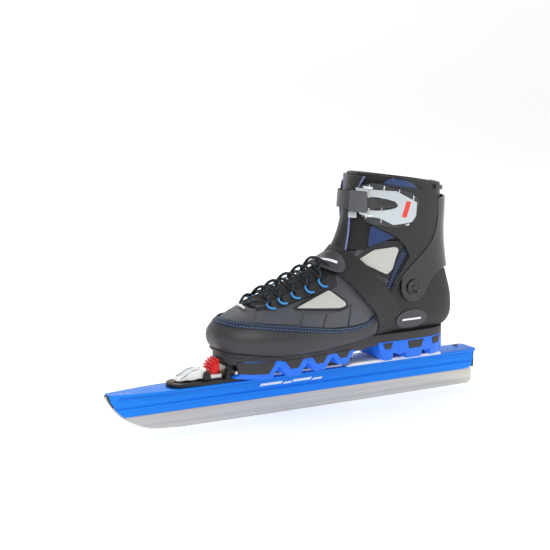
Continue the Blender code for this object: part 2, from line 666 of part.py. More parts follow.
# The toe bar crosses an open slot in the front of the sole, where the binding reaches it.
slot_half = 0.0178
SLOT_RADIUS = 0.0103
slot_outline = arc(TOE_BAR_X, TOE_BAR_Z, SLOT_RADIUS, 0, 180, 10)
slot_outline += [(-0.1300, TOE_BAR_Z), (-0.1300, 0.03), (TOE_BAR_X + SLOT_RADIUS, 0.03)]
toe_slot = prism("toe_slot", slot_outline, -slot_half, slot_half, STEEL)
hole_ends = [(TOE_BAR_X, y, TOE_BAR_Z) for y in (-0.0265, 0.0265)]
bar_hole = rod("toe_bar_hole", *hole_ends, bar_room, STEEL, 16)
flexor_side = [(-0.1300, 0.0500), (-0.0985, 0.0500), (-0.1015, 0.0702)]
flexor_side += [(-0.1055, 0.0722), (-0.1300, 0.0722)]
flexor_room = prism("flexor_room", flexor_side, -0.0115, 0.0115, STEEL)
for piece in (sole_core, forefoot_tread):
    cut(piece, toe_slot)
    cut(piece, bar_hole)
    cut(piece, flexor_room)
bar_start = (TOE_BAR_X, -0.0260, TOE_BAR_Z)
bar_end = (TOE_BAR_X, 0.0260, TOE_BAR_Z)
toe_bar = rod("toe_bar", bar_start, bar_end, TOE_BAR_RADIUS, STEEL, 16)

# ---------------------------------------------------------------- trim on the upper
# A moulded rand wraps the toe and runs back along both sides, above the sole.
rand_outline = [
    (-0.1250, 0.0835),
    (-0.1250, 0.1125),
    (-0.1052, 0.1112),
    (-0.0943, 0.1094),
    (-0.0707, 0.1075),
    (-0.0423, 0.1037),
    (-0.0099, 0.0995),
    (0.0143, 0.0964),
    (0.0401, 0.0950),
    (0.0600, 0.0969),
    (0.0700, 0.1020),
    (0.0700, 0.0835),
]
rand = layer("toe_rand", RAND_LAYER, GREY_PLASTIC)
keep(rand, side_region("rand_outline", rand_outline))

forefoot_outline = [(-0.0280, 0.1240), (0.0120, 0.1390), (0.0320, 0.1250)]
forefoot_outline += [(0.0310, 0.1200), (0.0220, 0.1195)]
ankle_outline = [
    (0.0562, 0.1683),
    (0.0751, 0.1784),
    (0.0990, 0.1813),
    (0.1028, 0.1784),
    (0.0956, 0.1563),
    (0.0884, 0.1504),
    (0.0740, 0.1580),
]
panels = []
for name, outline in (("forefoot_panel", forefoot_outline), ("ankle_panel", ankle_outline)):
    for side, low, high in (("lateral", -0.1, -0.02), ("medial", 0.02, 0.1)):
        panel = layer(f"{name}_{side}", PANEL_LAYER, WHITE_MESH)
        keep(panel, side_region(f"{name}_outline_{side}", outline, low, high))
        keep(panel, boot_region)
        panels.append(panel)

loops = []
for side, sign in (("lateral", -1), ("medial", 1)):
    strip = layer(f"lace_loops_{side}", LOOP_LAYER, BLUE_LOOPS)
    inner_edge = [(-0.0560, 0.0180 * sign), (0.0240, 0.0205 * sign)]
    outer_edge = [(0.0240, 0.0260 * sign), (-0.0560, 0.0235 * sign)]
    plan = inner_edge + outer_edge
    keep(strip, prism(f"loop_plan_{side}", plan, 0.10, 0.2, STEEL, "Z"))
    loops.append(strip)

# ---------------------------------------------------------------- lace
LOOP_X = [-0.0420, -0.0270, -0.0110, 0.0040]
LACE_SIDE = 0.0200
LOW_LIFT = 0.0040
HIGH_LIFT = 0.0088
TURN_HALF = 0.0028


def lace_side(row):
    return LACE_SIDE + 0.0015 * row / len(LOOP_X)


def strand(start_row, end_row, start_sign, lift):
    """The stretch of lace from a loop on one side to a loop on the other."""
    x0, x1 = LOOP_X[start_row], LOOP_X[end_row]
    y0 = start_sign * lace_side(start_row)
    y1 = -start_sign * lace_side(end_row)
    shares = (0.12, 0.3, 0.5, 0.7, 0.88)
    lifts = (LOW_LIFT, (LOW_LIFT + lift) / 2, lift, (LOW_LIFT + lift) / 2, LOW_LIFT)
    return [above(x0 + (x1 - x0) * t, y0 + (y1 - y0) * t, h) for t, h in zip(shares, lifts)]


def turn_at(row, sign):
    """The lace goes round under a loop at the side."""
    x = LOOP_X[row]
    y = sign * (lace_side(row) + 0.0022)
    near = y - sign * 0.001
    stops = ((x - TURN_HALF, near), (x, y), (x + TURN_HALF, near))
    return [above(a, b, LOW_LIFT) for a, b in stops]


rows = len(LOOP_X)
route = []
sign = -1
for row in range(rows - 1, 0, -1):
    route += reversed(turn_at(row, sign))
    route += strand(row, row - 1, sign, LOW_LIFT)
    sign = -sign
route += reversed(turn_at(0, sign))
route += [above(-0.0560, sign * 0.0120, LOW_LIFT), above(-0.0640, sign * 0.0040, LOW_LIFT)]
route += [above(-0.0640, -sign * 0.0040, LOW_LIFT), above(-0.0560, -sign * 0.0120, LOW_LIFT)]
sign = -sign
for row in range(rows - 1):
    route += turn_at(row, sign)
    route += strand(row, row + 1, sign, HIGH_LIFT)
    sign = -sign
route += turn_at(rows - 1, sign)

lace_curve = bpy.data.curves.new("lace", "CURVE")
lace_curve.dimensions = "3D"
lace_curve.bevel_depth = LACE_RADIUS
lace_curve.bevel_resolution = 2
lace_curve.use_fill_caps = True
spline = lace_curve.splines.new("POLY")
spline.points.add(len(route) - 1)
for point, place in zip(spline.points, route):
    point.co = (*place, 1)
lace_curve.materials.append(BLACK_FABRIC)
lace = bpy.data.objects.new("lace", lace_curve)
bpy.context.scene.collection.objects.link(lace)
keeper_ends = [above(-0.0750, y, 0.0015) for y in (-0.0070, 0.0010)]
lace_keeper = rod("lace_keeper", *keeper_ends, 0.0011, WHITE_PLASTIC, 12, 0.0003)

# ---------------------------------------------------------------- instep strap and badges
def oval(x, z, half_length, half_height, steps=16):
    """An ellipse in the drawing plane, about a centre."""
    turns = [2 * math.pi * i / steps for i in range(steps)]
    return [(x + half_length * math.cos(t), z + half_height * math.sin(t)) for t in turns]


strap = layer("instep_strap", INSTEP_LAYER, BLACK_FABRIC)
band = [
    (0.0000, 0.1900),
    (0.0022, 0.1585),
    (0.0131, 0.1605),
    (0.0305, 0.1557),
    (0.0405, 0.1448),
    (0.0500, 0.1312),
    (0.0644, 0.1165),
    (0.0774, 0.1036),
    (0.1000, 0.1060),
    (0.0974, 0.1180),
    (0.0828, 0.1379),
    (0.0629, 0.1580),
    (0.0530, 0.1680),
    (0.0440, 0.1794),
    (0.0340, 0.1940),
]
keep(strap, side_region("strap_band", band))
badge = layer("strap_badge", BADGE_LAYER, GREY_PLASTIC)
keep(badge, prism("badge_plan", oval(0.0200, -0.0130, 0.0125, 0.0100), 0.12, 0.25, STEEL, "Z"))
heel_badge = layer("heel_badge", PANEL_LAYER, GREY_PLASTIC)
keep(heel_badge, side_region("heel_badge_outline", oval(0.1230, 0.0970, 0.0200, 0.0105), -0.1, 0.0))

# ---------------------------------------------------------------- cuff
LOBE_RADIUS = 0.0165
cuff_outline = arc(CUFF_PIVOT_X, CUFF_PIVOT_Z, LOBE_RADIUS, 170, 345, 12)
cuff_outline += [(0.1550, 0.1440), (0.1750, 0.1500), (0.2100, 0.1520), (0.2100, 0.2300)]
cuff_outline += [(0.1700, 0.2320), (0.1500, 0.2250), (0.1180, 0.1950), (0.1080, 0.1650)]
cuff = layer("cuff_shell", CUFF_LAYER, BLACK_CUFF)
keep(cuff, side_region("cuff_outline", cuff_outline))

wing_outline = [
    (0.0600, 0.2480),
    (0.0590, 0.2160),
    (0.0780, 0.2050),
    (0.0960, 0.1950),
    (0.1050, 0.1840),
    (0.1090, 0.1700),
    (0.1020, 0.1560),
    (0.1080, 0.1540),
    (0.1320, 0.1750),
    (0.1430, 0.1910),
    (0.1467, 0.2146),
    (0.1454, 0.2338),
    (0.1282, 0.2438),
    (0.1000, 0.2460),
]
wings = []
for side, low, high in (("lateral", -0.1, -0.01), ("medial", 0.01, 0.1)):
    wing = layer(f"cuff_wing_{side}", WING_LAYER, BLACK_CUFF)
    keep(wing, side_region(f"wing_outline_{side}", wing_outline, low, high))
    wings.append(wing)

RIVET_RADIUS = 0.0045
RIVET_HEAD = 0.0092
RIVET_INSIDE = 0.0060
RIVET_OUTSIDE = 0.0065
rivets = []
for side, sign in (("lateral", -1), ("medial", 1)):
    pivot = Vector((CUFF_PIVOT_X, 0, CUFF_PIVOT_Z))
    outward = Vector((0, sign, 0))
    face = abs(outer_tree.ray_cast(pivot + outward * 0.2, -outward)[0].y)
    start = pivot + outward * (face - RIVET_INSIDE)
    head_start = pivot + outward * (face + 0.0046)
    end = pivot + outward * (face + RIVET_OUTSIDE)
    shank_end = head_start + outward * 0.0005
    rivet = rod(f"cuff_rivet_{side}", start, shank_end, RIVET_RADIUS, BLACK_PLASTIC, 24)
    join(rivet, rod(f"rivet_head_{side}", head_start, end, RIVET_HEAD, BLACK_PLASTIC, 24, 0.0007))
    rivets.append(rivet)
    bore_start = pivot + outward * (face - 0.0100)
    bore_end = pivot + outward * (face + 0.0200)
    bore = rod(f"rivet_bore_{side}", bore_start, bore_end, RIVET_RADIUS + GAP, STEEL, 24)
    for piece in (upper, liner, cuff):
        cut(piece, bore)

# ---------------------------------------------------------------- buckle and ratchet strap
PIN_RADIUS_SMALL = 0.0012
EYE_RADIUS = 0.0025
EAR_LAYER = (-0.0126, -0.0063)
pin_form = form_skin(-BUCKLE_PIN_LIFT)
pin_tree = BVHTree.FromBMesh(pin_form)
pin_form.free()


def on_pin_level(x, z, sign):
    """The point at the height of the hinge pins above one side of the boot."""
    return pin_tree.ray_cast(Vector((x, sign * 0.2, z)), Vector((0, -sign, 0)))[0]


class HingeLine:
    """A hinge pin's axis, which leans with the side of the boot; pieces are set along it by height."""

    def __init__(self, x, low_z, high_z, sign):
        self.low = on_pin_level(x, low_z, sign)
        self.high = on_pin_level(x, high_z, sign)
        self.low.x = self.high.x = x

    def at(self, z):
        return self.low.lerp(self.high, (z - self.low.z) / (self.high.z - self.low.z))

    def bar(self, name, low_z, high_z, radius, look, segments=16):
        return rod(name, self.at(low_z), self.at(high_z), radius, look, segments)


def add_ear(base, name, outline, low, high):
    """Raises an upright on a base plate, to hold the end of a pin."""
    ear = layer(name, EAR_LAYER, SILVER_PLASTIC)
    keep(ear, side_region(f"{name}_outline", outline, low, high))
    join(base, ear)


def rectangle(low_x, low_z, high_x, high_z):
    return [(low_x, low_z), (high_x, low_z), (high_x, high_z), (low_x, high_z)]


LATERAL = (-0.1, -0.01)
MEDIAL = (0.01, 0.1)
base_outline = [
    (0.0640, 0.2492),
    (0.0740, 0.2520),
    (0.0976, 0.2453),
    (0.1110, 0.2414),
    (0.1200, 0.2330),
    (0.1100, 0.2050),
    (0.0706, 0.2100),
    (0.0636, 0.2158),
]
buckle_line = HingeLine(BUCKLE_PIN_X, 0.2172, 0.2478, -1)
buckle_base = layer("buckle_base", BASE_LAYER, SILVER_PLASTIC)
keep(buckle_base, side_region("buckle_base_outline", base_outline, *LATERAL))
for name, low_z, high_z in (("upper", 0.2466, 0.2490), ("lower", 0.2160, 0.2186)):
    add_ear(buckle_base, f"buckle_ear_{name}", rectangle(0.0644, low_z, 0.0686, high_z), *LATERAL)
HOLE_RADIUS_SMALL = PIN_RADIUS_SMALL + GAP
cut(buckle_base, buckle_line.bar("buckle_pin_hole", 0.2100, 0.2560, HOLE_RADIUS_SMALL, STEEL))
pin_upper = buckle_line.bar("buckle_pin_upper", 0.2368, 0.2492, PIN_RADIUS_SMALL, STEEL)
pin_lower = buckle_line.bar("buckle_pin_lower", 0.2158, 0.2256, PIN_RADIUS_SMALL, STEEL)

lever_outline = [
    (BUCKLE_PIN_X + 0.0008, 0.2458),
    (0.0754, 0.2452),
    (0.0934, 0.2445),
    (0.1003, 0.2400),
    (0.1142, 0.2315),
    (0.1139, 0.2170),
    (0.1096, 0.2105),
    (0.0922, 0.2080),
    (0.0790, 0.2150),
    (0.0722, 0.2193),
    (BUCKLE_PIN_X + 0.0008, 0.2193),
]
buckle_lever = layer("buckle_lever", LEVER_LAYER, SILVER_PLASTIC)
keep(buckle_lever, side_region("buckle_lever_outline", lever_outline, *LATERAL))
for name, low_z, high_z in (("upper", 0.2375, 0.2458), ("lower", 0.2193, 0.2250)):
    eye = buckle_line.bar(f"buckle_eye_{name}", low_z, high_z, EYE_RADIUS, SILVER_PLASTIC, 20)
    join(buckle_lever, eye)
slot_region = rectangle(0.0600, 0.2255, 0.0945, 0.2365)
cut(buckle_lever, side_region("buckle_lever_slot", slot_region, *LATERAL))
cut(buckle_lever, buckle_line.bar("lever_eye_hole", 0.2100, 0.2560, HOLE_RADIUS_SMALL, STEEL))

anchor_line = HingeLine(STRAP_ANCHOR_X, 0.2200, 0.2440, 1)
anchor = layer("strap_anchor", BASE_LAYER, SILVER_PLASTIC)
anchor_outline = oval(0.0875, 0.2319, 0.0142, 0.0158)
keep(anchor, side_region("strap_anchor_outline", anchor_outline, *MEDIAL))
for name, low_z, high_z in (("upper", 0.2412, 0.2436), ("lower", 0.2204, 0.2228)):
    add_ear(anchor, f"anchor_ear_{name}", rectangle(0.0760, low_z, 0.0834, high_z), *MEDIAL)
cut(anchor, anchor_line.bar("anchor_pin_hole", 0.2100, 0.2560, HOLE_RADIUS_SMALL, STEEL))
anchor_pin = anchor_line.bar("strap_anchor_pin", 0.2200, 0.2440, PIN_RADIUS_SMALL, STEEL)

strap_outer = [
    (0.0300, 0.2405),
    (0.0540, 0.2415),
    (0.0605, 0.2425),
    (0.0605, 0.2352),
    (0.0900, 0.2352),
    (0.0925, 0.2310),
    (0.0900, 0.2265),
    (0.0605, 0.2265),
    (0.0605, 0.2205),
    (0.0300, 0.2215),
]
strap_inner = [(0.0300, 0.2405), (STRAP_ANCHOR_X, 0.2400)]
strap_inner += [(STRAP_ANCHOR_X, 0.2240), (0.0300, 0.2215)]
ratchet = layer("ratchet_strap", RATCHET_LAYER, BLACK_PLASTIC)
strap_region = side_region("ratchet_lateral_outline", strap_outer, -0.1, 0.0010)
join(strap_region, side_region("ratchet_medial_outline", strap_inner, 0.0, 0.1))
keep(ratchet, strap_region)
join(ratchet, anchor_line.bar("ratchet_eye", 0.2240, 0.2400, EYE_RADIUS, BLACK_PLASTIC, 20))
cut(ratchet, anchor_line.bar("ratchet_eye_hole", 0.2100, 0.2560, HOLE_RADIUS_SMALL, STEEL))

# ---------------------------------------------------------------- joint frames
boot_frame = hinge_frame("boot_axis", (TOE_BAR_X, 0, TOE_BAR_Z))
cuff_frame = hinge_frame("cuff_axis", (CUFF_PIVOT_X, 0, CUFF_PIVOT_Z))
buckle_frame = hinge_frame("buckle_lever_axis", buckle_line.at(BUCKLE_Z))
strap_frame = hinge_frame("ratchet_strap_axis", anchor_line.at(BUCKLE_Z))
bpy.context.view_layer.update()
attach(lever_frame, lever)
attach(latch_frame, latch)
soles = [sole_core, forefoot_tread, heel_tread, toe_bar]
attach(boot_frame, upper, liner, tongue, footbed, *soles)
attach(boot_frame, rand, *panels, *loops, lace, lace_keeper, strap, badge, heel_badge, *rivets)
attach(cuff_frame, collar, tongue_top, cuff, *wings)
attach(cuff_frame, buckle_base, pin_upper, pin_lower, anchor, anchor_pin)
attach(buckle_frame, buckle_lever)
attach(strap_frame, ratchet)
bpy.context.view_layer.update()
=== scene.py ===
"""The looks of a left touring skate: blade, runner, toe binding, soles, boot, cuff and buckle.

Metres, +Z up. The toe points to -X; -Y is the outer side of the foot and +Y the inner side.
"""

import math

import bmesh
import bpy
from mathutils import Matrix, Vector
from mathutils.bvhtree import BVHTree
from mathutils.interpolate import poly_3d_calc


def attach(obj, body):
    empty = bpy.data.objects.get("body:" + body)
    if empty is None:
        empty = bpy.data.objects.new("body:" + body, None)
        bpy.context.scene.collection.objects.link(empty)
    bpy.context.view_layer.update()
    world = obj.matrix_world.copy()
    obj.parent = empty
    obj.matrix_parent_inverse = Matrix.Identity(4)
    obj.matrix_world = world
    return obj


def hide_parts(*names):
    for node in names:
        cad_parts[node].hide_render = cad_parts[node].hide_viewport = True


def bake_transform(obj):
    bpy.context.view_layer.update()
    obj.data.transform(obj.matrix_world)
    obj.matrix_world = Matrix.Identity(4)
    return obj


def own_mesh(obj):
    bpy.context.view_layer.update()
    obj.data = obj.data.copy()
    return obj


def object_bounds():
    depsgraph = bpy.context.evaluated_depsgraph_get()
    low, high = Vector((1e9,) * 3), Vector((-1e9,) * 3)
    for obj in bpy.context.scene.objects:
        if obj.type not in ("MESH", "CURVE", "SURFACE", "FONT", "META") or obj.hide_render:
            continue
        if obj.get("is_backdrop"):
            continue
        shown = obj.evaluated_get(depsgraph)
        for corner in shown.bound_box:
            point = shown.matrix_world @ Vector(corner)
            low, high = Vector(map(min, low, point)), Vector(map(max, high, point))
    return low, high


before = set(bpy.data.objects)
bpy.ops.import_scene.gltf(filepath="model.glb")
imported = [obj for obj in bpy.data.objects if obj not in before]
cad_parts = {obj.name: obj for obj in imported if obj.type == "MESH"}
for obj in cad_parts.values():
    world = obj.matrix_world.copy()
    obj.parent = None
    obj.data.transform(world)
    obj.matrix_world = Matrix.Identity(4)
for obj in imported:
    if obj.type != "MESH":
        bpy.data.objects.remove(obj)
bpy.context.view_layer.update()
scene = bpy.context.scene
scene.view_settings.view_transform = "Standard"

# ---------------------------------------------------------------- studio
# A pale sweep of paper under and behind the skate, lit by three soft boxes and a pale sky. The
# camera is at the toe end of the outer side, ten degrees above the ice.
AIM = Vector((-0.0324, 0.0, 0.1546))
DISTANCE = 1.4675
AZIMUTH = math.radians(-28.97)
ELEVATION = math.radians(10.06)
level = math.cos(ELEVATION)
back = Vector((math.sin(AZIMUTH) * level, -math.cos(AZIMUTH) * level, math.sin(ELEVATION)))
camera_data = bpy.data.cameras.new("camera")
camera_data.lens = 88.25
camera_data.sensor_width = 36.0
camera = bpy.data.objects.new("camera", camera_data)
camera.location = AIM + back * DISTANCE
camera.rotation_euler = back.to_track_quat("Z", "Y").to_euler()
scene.collection.objects.link(camera)
scene.camera = camera


def put(tree, kind, settings=(), links=()):
    """Adds a node: settings are its properties, or its inputs by name; links feed its inputs."""
    node = tree.nodes.new("ShaderNode" + kind)
    for name, value in dict(settings).items():
        if name in node.inputs:
            node.inputs[name].default_value = value
        else:
            setattr(node, name, value)
    for name, socket in dict(links).items():
        tree.links.new(socket, node.inputs[name])
    return node


def colour(sheet):
    """A six-digit sRGB hex colour as linear light, with alpha."""
    channels = [int(sheet[i : i + 2], 16) / 255 for i in (0, 2, 4)]
    return [c / 12.92 if c <= 0.04045 else ((c + 0.055) / 1.055) ** 2.4 for c in channels] + [1]


def stuff(name, base, roughness, **sockets):
    """A material with one Principled shader; returns it with its node tree and the shader."""
    made = bpy.data.materials.new(name)
    made.use_nodes = True
    tree = made.node_tree
    shader = tree.nodes["Principled BSDF"]
    shader.inputs["Base Color"].default_value = colour(base)
    shader.inputs["Roughness"].default_value = roughness
    for socket, value in sockets.items():
        shader.inputs[socket.replace("_", " ")].default_value = value
    return made, tree, shader


paper, _, paper_shader = stuff("white_studio_paper", "FFFFFF", 0.9)
paper_shader.inputs["Emission Color"].default_value = colour("FFFFFF")
paper_shader.inputs["Emission Strength"].default_value = 0.35
SWEEP_RADIUS = 1.2
bm = bmesh.new()
start = bm.verts.new((0, -3.0, -0.0002))
end = bm.verts.new((0, 2.0, -0.0002))
bm.edges.new((start, end))
bmesh.ops.spin(
    bm,
    geom=[end],
    cent=(0, 2.0, SWEEP_RADIUS),
    axis=(1, 0, 0),
    angle=math.radians(90),
    steps=24,
    use_merge=False,
    use_duplicate=False,
)
drawn = bmesh.ops.extrude_edge_only(bm, edges=bm.edges[:])["geom"]
bmesh.ops.translate(bm, verts=bm.verts[:], vec=(-3.5, 0, 0))
drawn_verts = [v for v in drawn if isinstance(v, bmesh.types.BMVert)]
bmesh.ops.translate(bm, verts=drawn_verts, vec=(7.0, 0, 0))
bmesh.ops.recalc_face_normals(bm, faces=bm.faces)
paper_mesh = bpy.data.meshes.new("studio_sweep")
bm.to_mesh(paper_mesh)
bm.free()
paper_mesh.materials.append(paper)
paper_mesh.shade_smooth()
sweep = bpy.data.objects.new("studio_sweep", paper_mesh)
scene.collection.objects.link(sweep)
sweep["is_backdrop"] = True

scene.world = bpy.data.worlds.new("pale_sky")
scene.world.use_nodes = True
scene.world.node_tree.nodes["Background"].inputs["Color"].default_value = colour("FFFFFF")
scene.world.node_tree.nodes["Background"].inputs["Strength"].default_value = 0.5
SOFT_BOXES = {
    "key_box": ((-1.1, -1.5, 1.6), 1.4, 20),
    "fill_box": ((1.5, -1.2, 0.9), 1.2, 7),
    "back_box": ((0.3, 1.3, 1.7), 1.4, 16),
}
for name, (place, side, power) in SOFT_BOXES.items():
    light = bpy.data.lights.new(name, "AREA")
    light.size = side
    light.energy = power
    lamp = bpy.data.objects.new(name, light)
    lamp.location = place
    lamp.rotation_euler = (Vector(place) - Vector((0, 0, 0.12))).to_track_quat("Z", "Y").to_euler()
    scene.collection.objects.link(lamp)

# ---------------------------------------------------------------- blade
# A long strip of hardened steel, 1.4 mm thick, with a curved tip and a rockered edge, ground
# lengthwise and held in the runner by four cross pins.
BLADE_HALF = 0.0007
GRIND_SPACING = 0.0006


def smooth_line(points, steps=5, closed=False):
    """Points along a Catmull-Rom curve through the given ones."""
    points = [Vector(p) for p in points]
    count = len(points)
    line = []
    for i in range(count if closed else count - 1):
        if closed:
            a, b, c, d = (points[(i + k) % count] for k in (-1, 0, 1, 2))
        else:
            a, b, c, d = (points[min(max(i + k, 0), count - 1)] for k in (-1, 0, 1, 2))
        for step in range(steps):
            t = step / steps
            square = (2 * a - 5 * b + 4 * c - d) * t**2
            cube = (3 * b - a - 3 * c + d) * t**3
            line.append(0.5 * (2 * b + (c - a) * t + square + cube))
    return line if closed else line + [points[-1]]


def drawn_along(outline, low, high, along="Y"):
    """A bmesh prism: an outline of (x, z) drawn along Y, (x, y) along Z or (y, z) along X."""
    place = {
        "X": lambda p, c: (c, p[0], p[1]),
        "Y": lambda p, c: (p[0], c, p[1]),
        "Z": lambda p, c: (p[0], p[1], c),
    }[along]
    bm = bmesh.new()
    face = bm.faces.new([bm.verts.new(place(p, low)) for p in outline])
    ends = bmesh.ops.extrude_face_region(bm, geom=[face])["geom"]
    moved = [v for v in ends if isinstance(v, bmesh.types.BMVert)]
    bmesh.ops.translate(bm, verts=moved, vec=Vector(place((0, 0), high - low)))
    bmesh.ops.recalc_face_normals(bm, faces=bm.faces)
    return bm


def round_edges(bm, radius, sharper_than=30, segments=2):
    """Bevels every edge whose faces meet at more than this many degrees."""
    limit = math.radians(sharper_than)
    edges = [e for e in bm.edges if len(e.link_faces) == 2 and e.calc_face_angle() > limit]
    bmesh.ops.bevel(
        bm,
        geom=edges,
        offset=radius,
        segments=segments,
        profile=0.5,
        affect="EDGES",
        material=-1,
        clamp_overlap=True,
    )


def piece(name, bm, material, body, stands_for=(), sharp=40):
    """Finishes a bmesh as a named piece that rides on a body and may stand for CAD nodes."""
    mesh = bpy.data.meshes.new(name)
    bm.to_mesh(mesh)
    bm.free()
    mesh.materials.append(material)
    mesh.shade_smooth()
    mesh.set_sharp_from_angle(angle=math.radians(sharp))
    made = bpy.data.objects.new(name, mesh)
    scene.collection.objects.link(made)
    if body:
        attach(made, body)
    if stands_for:
        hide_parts(*stands_for)
    return made


# Ground steel: fine lengthwise scratches that spread the highlights, and faint lighter streaks.
steel, tree, shader = stuff("ground_blade_steel", "C3C1BA", 0.33, Metallic=1.0)
coords = put(tree, "TexCoord").outputs["Object"]
lengthwise = put(tree, "Mapping", {"Scale": (4, 1000, 1 / GRIND_SPACING)}, {"Vector": coords})
scratches = put(tree, "TexNoise", {"Scale": 1.0, "Detail": 4.0}, {"Vector": lengthwise.outputs["Vector"]})
rough = put(tree, "MapRange", {"To Min": 0.26, "To Max": 0.46}, {"Value": scratches.outputs["Fac"]})
tree.links.new(rough.outputs["Result"], shader.inputs["Roughness"])
bump = put(tree, "Bump", {"Strength": 0.25, "Distance": 0.00003}, {"Height": scratches.outputs["Fac"]})
tree.links.new(bump.outputs["Normal"], shader.inputs["Normal"])
tint = put(tree, "ValToRGB", (), {"Fac": scratches.outputs["Fac"]})
tint.color_ramp.elements[0].position = 0.35
tint.color_ramp.elements[0].color = colour("B5B2AA")
tint.color_ramp.elements[1].position = 0.65
tint.color_ramp.elements[1].color = colour("CFCDC7")
tree.links.new(tint.outputs["Color"], shader.inputs["Base Color"])

TIP = [(-0.2283, 0.0360), (-0.2250, 0.0292), (-0.2165, 0.0200), (-0.2055, 0.0128), (-0.1940, 0.0072)]
TIP += [(-0.1830, 0.0036), (-0.1715, 0.0016)]
rocker = [(x / 100, 0.0009 * (x / 23.1) ** 2) for x in range(-15, 23, 2)]
heel = [(0.2318, 0.0010), (0.2346, 0.0030), (0.2360, 0.0062), (0.2360, 0.0335)]
outline = smooth_line(TIP, 4)[:-1] + rocker + heel + [(-0.2240, 0.0335), (-0.2268, 0.0360)]
bm = drawn_along(outline, -BLADE_HALF, BLADE_HALF)
round_edges(bm, 0.00012, 60)
piece("blade_steel", bm, steel, "runner", ["blade"])
for number in (1, 2, 3, 4):
    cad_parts[f"blade_pin_{number}"].data.materials[0] = steel

# ---------------------------------------------------------------- runner
# An extruded aluminium tube with a wide flat flange on top and a groove along each side, cut to a
# curve at the tip, then anodised blue.
FLANGE_TOP = 0.0460
FLANGE_UNDER = 0.0430
FLANGE_HALF = 0.0170
TUBE_BOTTOM = 0.0195
EXTRUSION_LINES = 0.0009

# Anodised aluminium: the dyed layer is a saturated blue with a satin sheen. The extruding die
# leaves faint lines along it.
anodised, tree, shader = stuff("blue_anodised_aluminium", "0E7EE6", 0.36, Metallic=0.55)
coords = put(tree, "TexCoord").outputs["Object"]
lengthwise = put(
    tree, "Mapping", {"Scale": (3, 1 / EXTRUSION_LINES, 1 / EXTRUSION_LINES)}, {"Vector": coords},
)
lines = put(tree, "TexNoise", {"Scale": 1.0, "Detail": 3.0}, {"Vector": lengthwise.outputs["Vector"]})
grain = put(tree, "TexNoise", {"Scale": 4000.0, "Detail": 1.0}, {"Vector": coords})
height = put(tree, "Math", {"operation": "ADD"}, {0: lines.outputs["Fac"], 1: grain.outputs["Fac"]})
bump = put(tree, "Bump", {"Strength": 0.2, "Distance": 0.00004}, {"Height": height.outputs["Value"]})
tree.links.new(bump.outputs["Normal"], shader.inputs["Normal"])
rough = put(tree, "MapRange", {"To Min": 0.28, "To Max": 0.42}, {"Value": lines.outputs["Fac"]})
tree.links.new(rough.outputs["Result"], shader.inputs["Roughness"])
tint = put(tree, "ValToRGB", (), {"Fac": lines.outputs["Fac"]})
tint.color_ramp.elements[0].position = 0.3
tint.color_ramp.elements[0].color = colour("0872DC")
tint.color_ramp.elements[1].position = 0.7
tint.color_ramp.elements[1].color = colour("1688F0")
tree.links.new(tint.outputs["Color"], shader.inputs["Base Color"])

side_profile = [
    (0.0010, TUBE_BOTTOM),
    (0.0042, TUBE_BOTTOM),
    (0.0058, 0.0208),
    (0.0068, 0.0235),
    (0.0074, 0.0280),
    (0.0073, 0.0293),
    (0.0066, 0.0300),
    (0.0067, 0.0309),
    (0.0078, 0.0316),
    (0.0080, 0.0330),
    (0.0080, 0.0380),
    (0.0077, 0.0405),
    (0.0074, 0.0420),
    (0.0082, 0.0428),
    (0.0100, FLANGE_UNDER),
    (FLANGE_HALF - 0.0009, FLANGE_UNDER + 0.0002),
    (FLANGE_HALF - 0.0002, FLANGE_UNDER + 0.0008),
    (FLANGE_HALF, FLANGE_UNDER + 0.0016),
    (FLANGE_HALF - 0.0001, FLANGE_TOP - 0.0006),
    (FLANGE_HALF - 0.0006, FLANGE_TOP - 0.0001),
    (FLANGE_HALF - 0.0012, FLANGE_TOP),
]
section = side_profile + [(-y, z) for y, z in reversed(side_profile)]
section += [(-0.0010, 0.0345), (0.0010, 0.0345)]
bm = drawn_along(section, -0.2308, 0.2328, "X")
cuts = [-0.2300 + 0.0020 * i for i in range(10)] + [-0.2100 + 0.0140 * i for i in range(4)]
cuts += [0.2220, 0.2260, 0.2290, 0.2310, 0.2320]
for x in cuts:
    whole = bm.verts[:] + bm.edges[:] + bm.faces[:]
    bmesh.ops.bisect_plane(bm, geom=whole, plane_co=(x, 0, 0), plane_no=(1, 0, 0), dist=1e-6)
tip_curve = [(-0.2310, 0.0440), (-0.2296, 0.0395), (-0.2240, 0.0302), (-0.2195, 0.0250)]
tip_side = smooth_line(tip_curve + [(-0.2150, 0.0205), (-0.2140, 0.0190)], 6)
heel_side = smooth_line([(0.2255, 0.0195), (0.2290, 0.0208), (0.2315, 0.0240), (0.2328, 0.0290)], 5)
plan_line = [(-0.2310, 0.0062), (-0.1680, FLANGE_HALF), (0.2270, FLANGE_HALF)]
plan_line += [(0.2310, 0.0145), (0.2330, 0.0120)]


def read_line(line, x):
    """The height of a line of (x, height) points, which run to larger x, at this x."""
    if x <= line[0][0]:
        return line[0][1]
    for (x0, z0), (x1, z1) in zip(line, line[1:]):
        if x <= x1:
            return z0 + (z1 - z0) * (x - x0) / (x1 - x0)
    return line[-1][1]


for vert in bm.verts:
    x, y, z = vert.co
    half = read_line(plan_line, x)
    vert.co.y = max(-half, min(half, y))
    if x < -0.2140:
        vert.co.z = max(z, read_line(tip_side, x))
    elif x > 0.2255:
        vert.co.z = max(z, read_line(heel_side, x))
bmesh.ops.remove_doubles(bm, verts=bm.verts, dist=0.00002)
bmesh.ops.dissolve_degenerate(bm, edges=bm.edges, dist=0.00002)
piece("runner_extrusion", bm, anodised, "runner", ["runner_tube"], sharp=28)

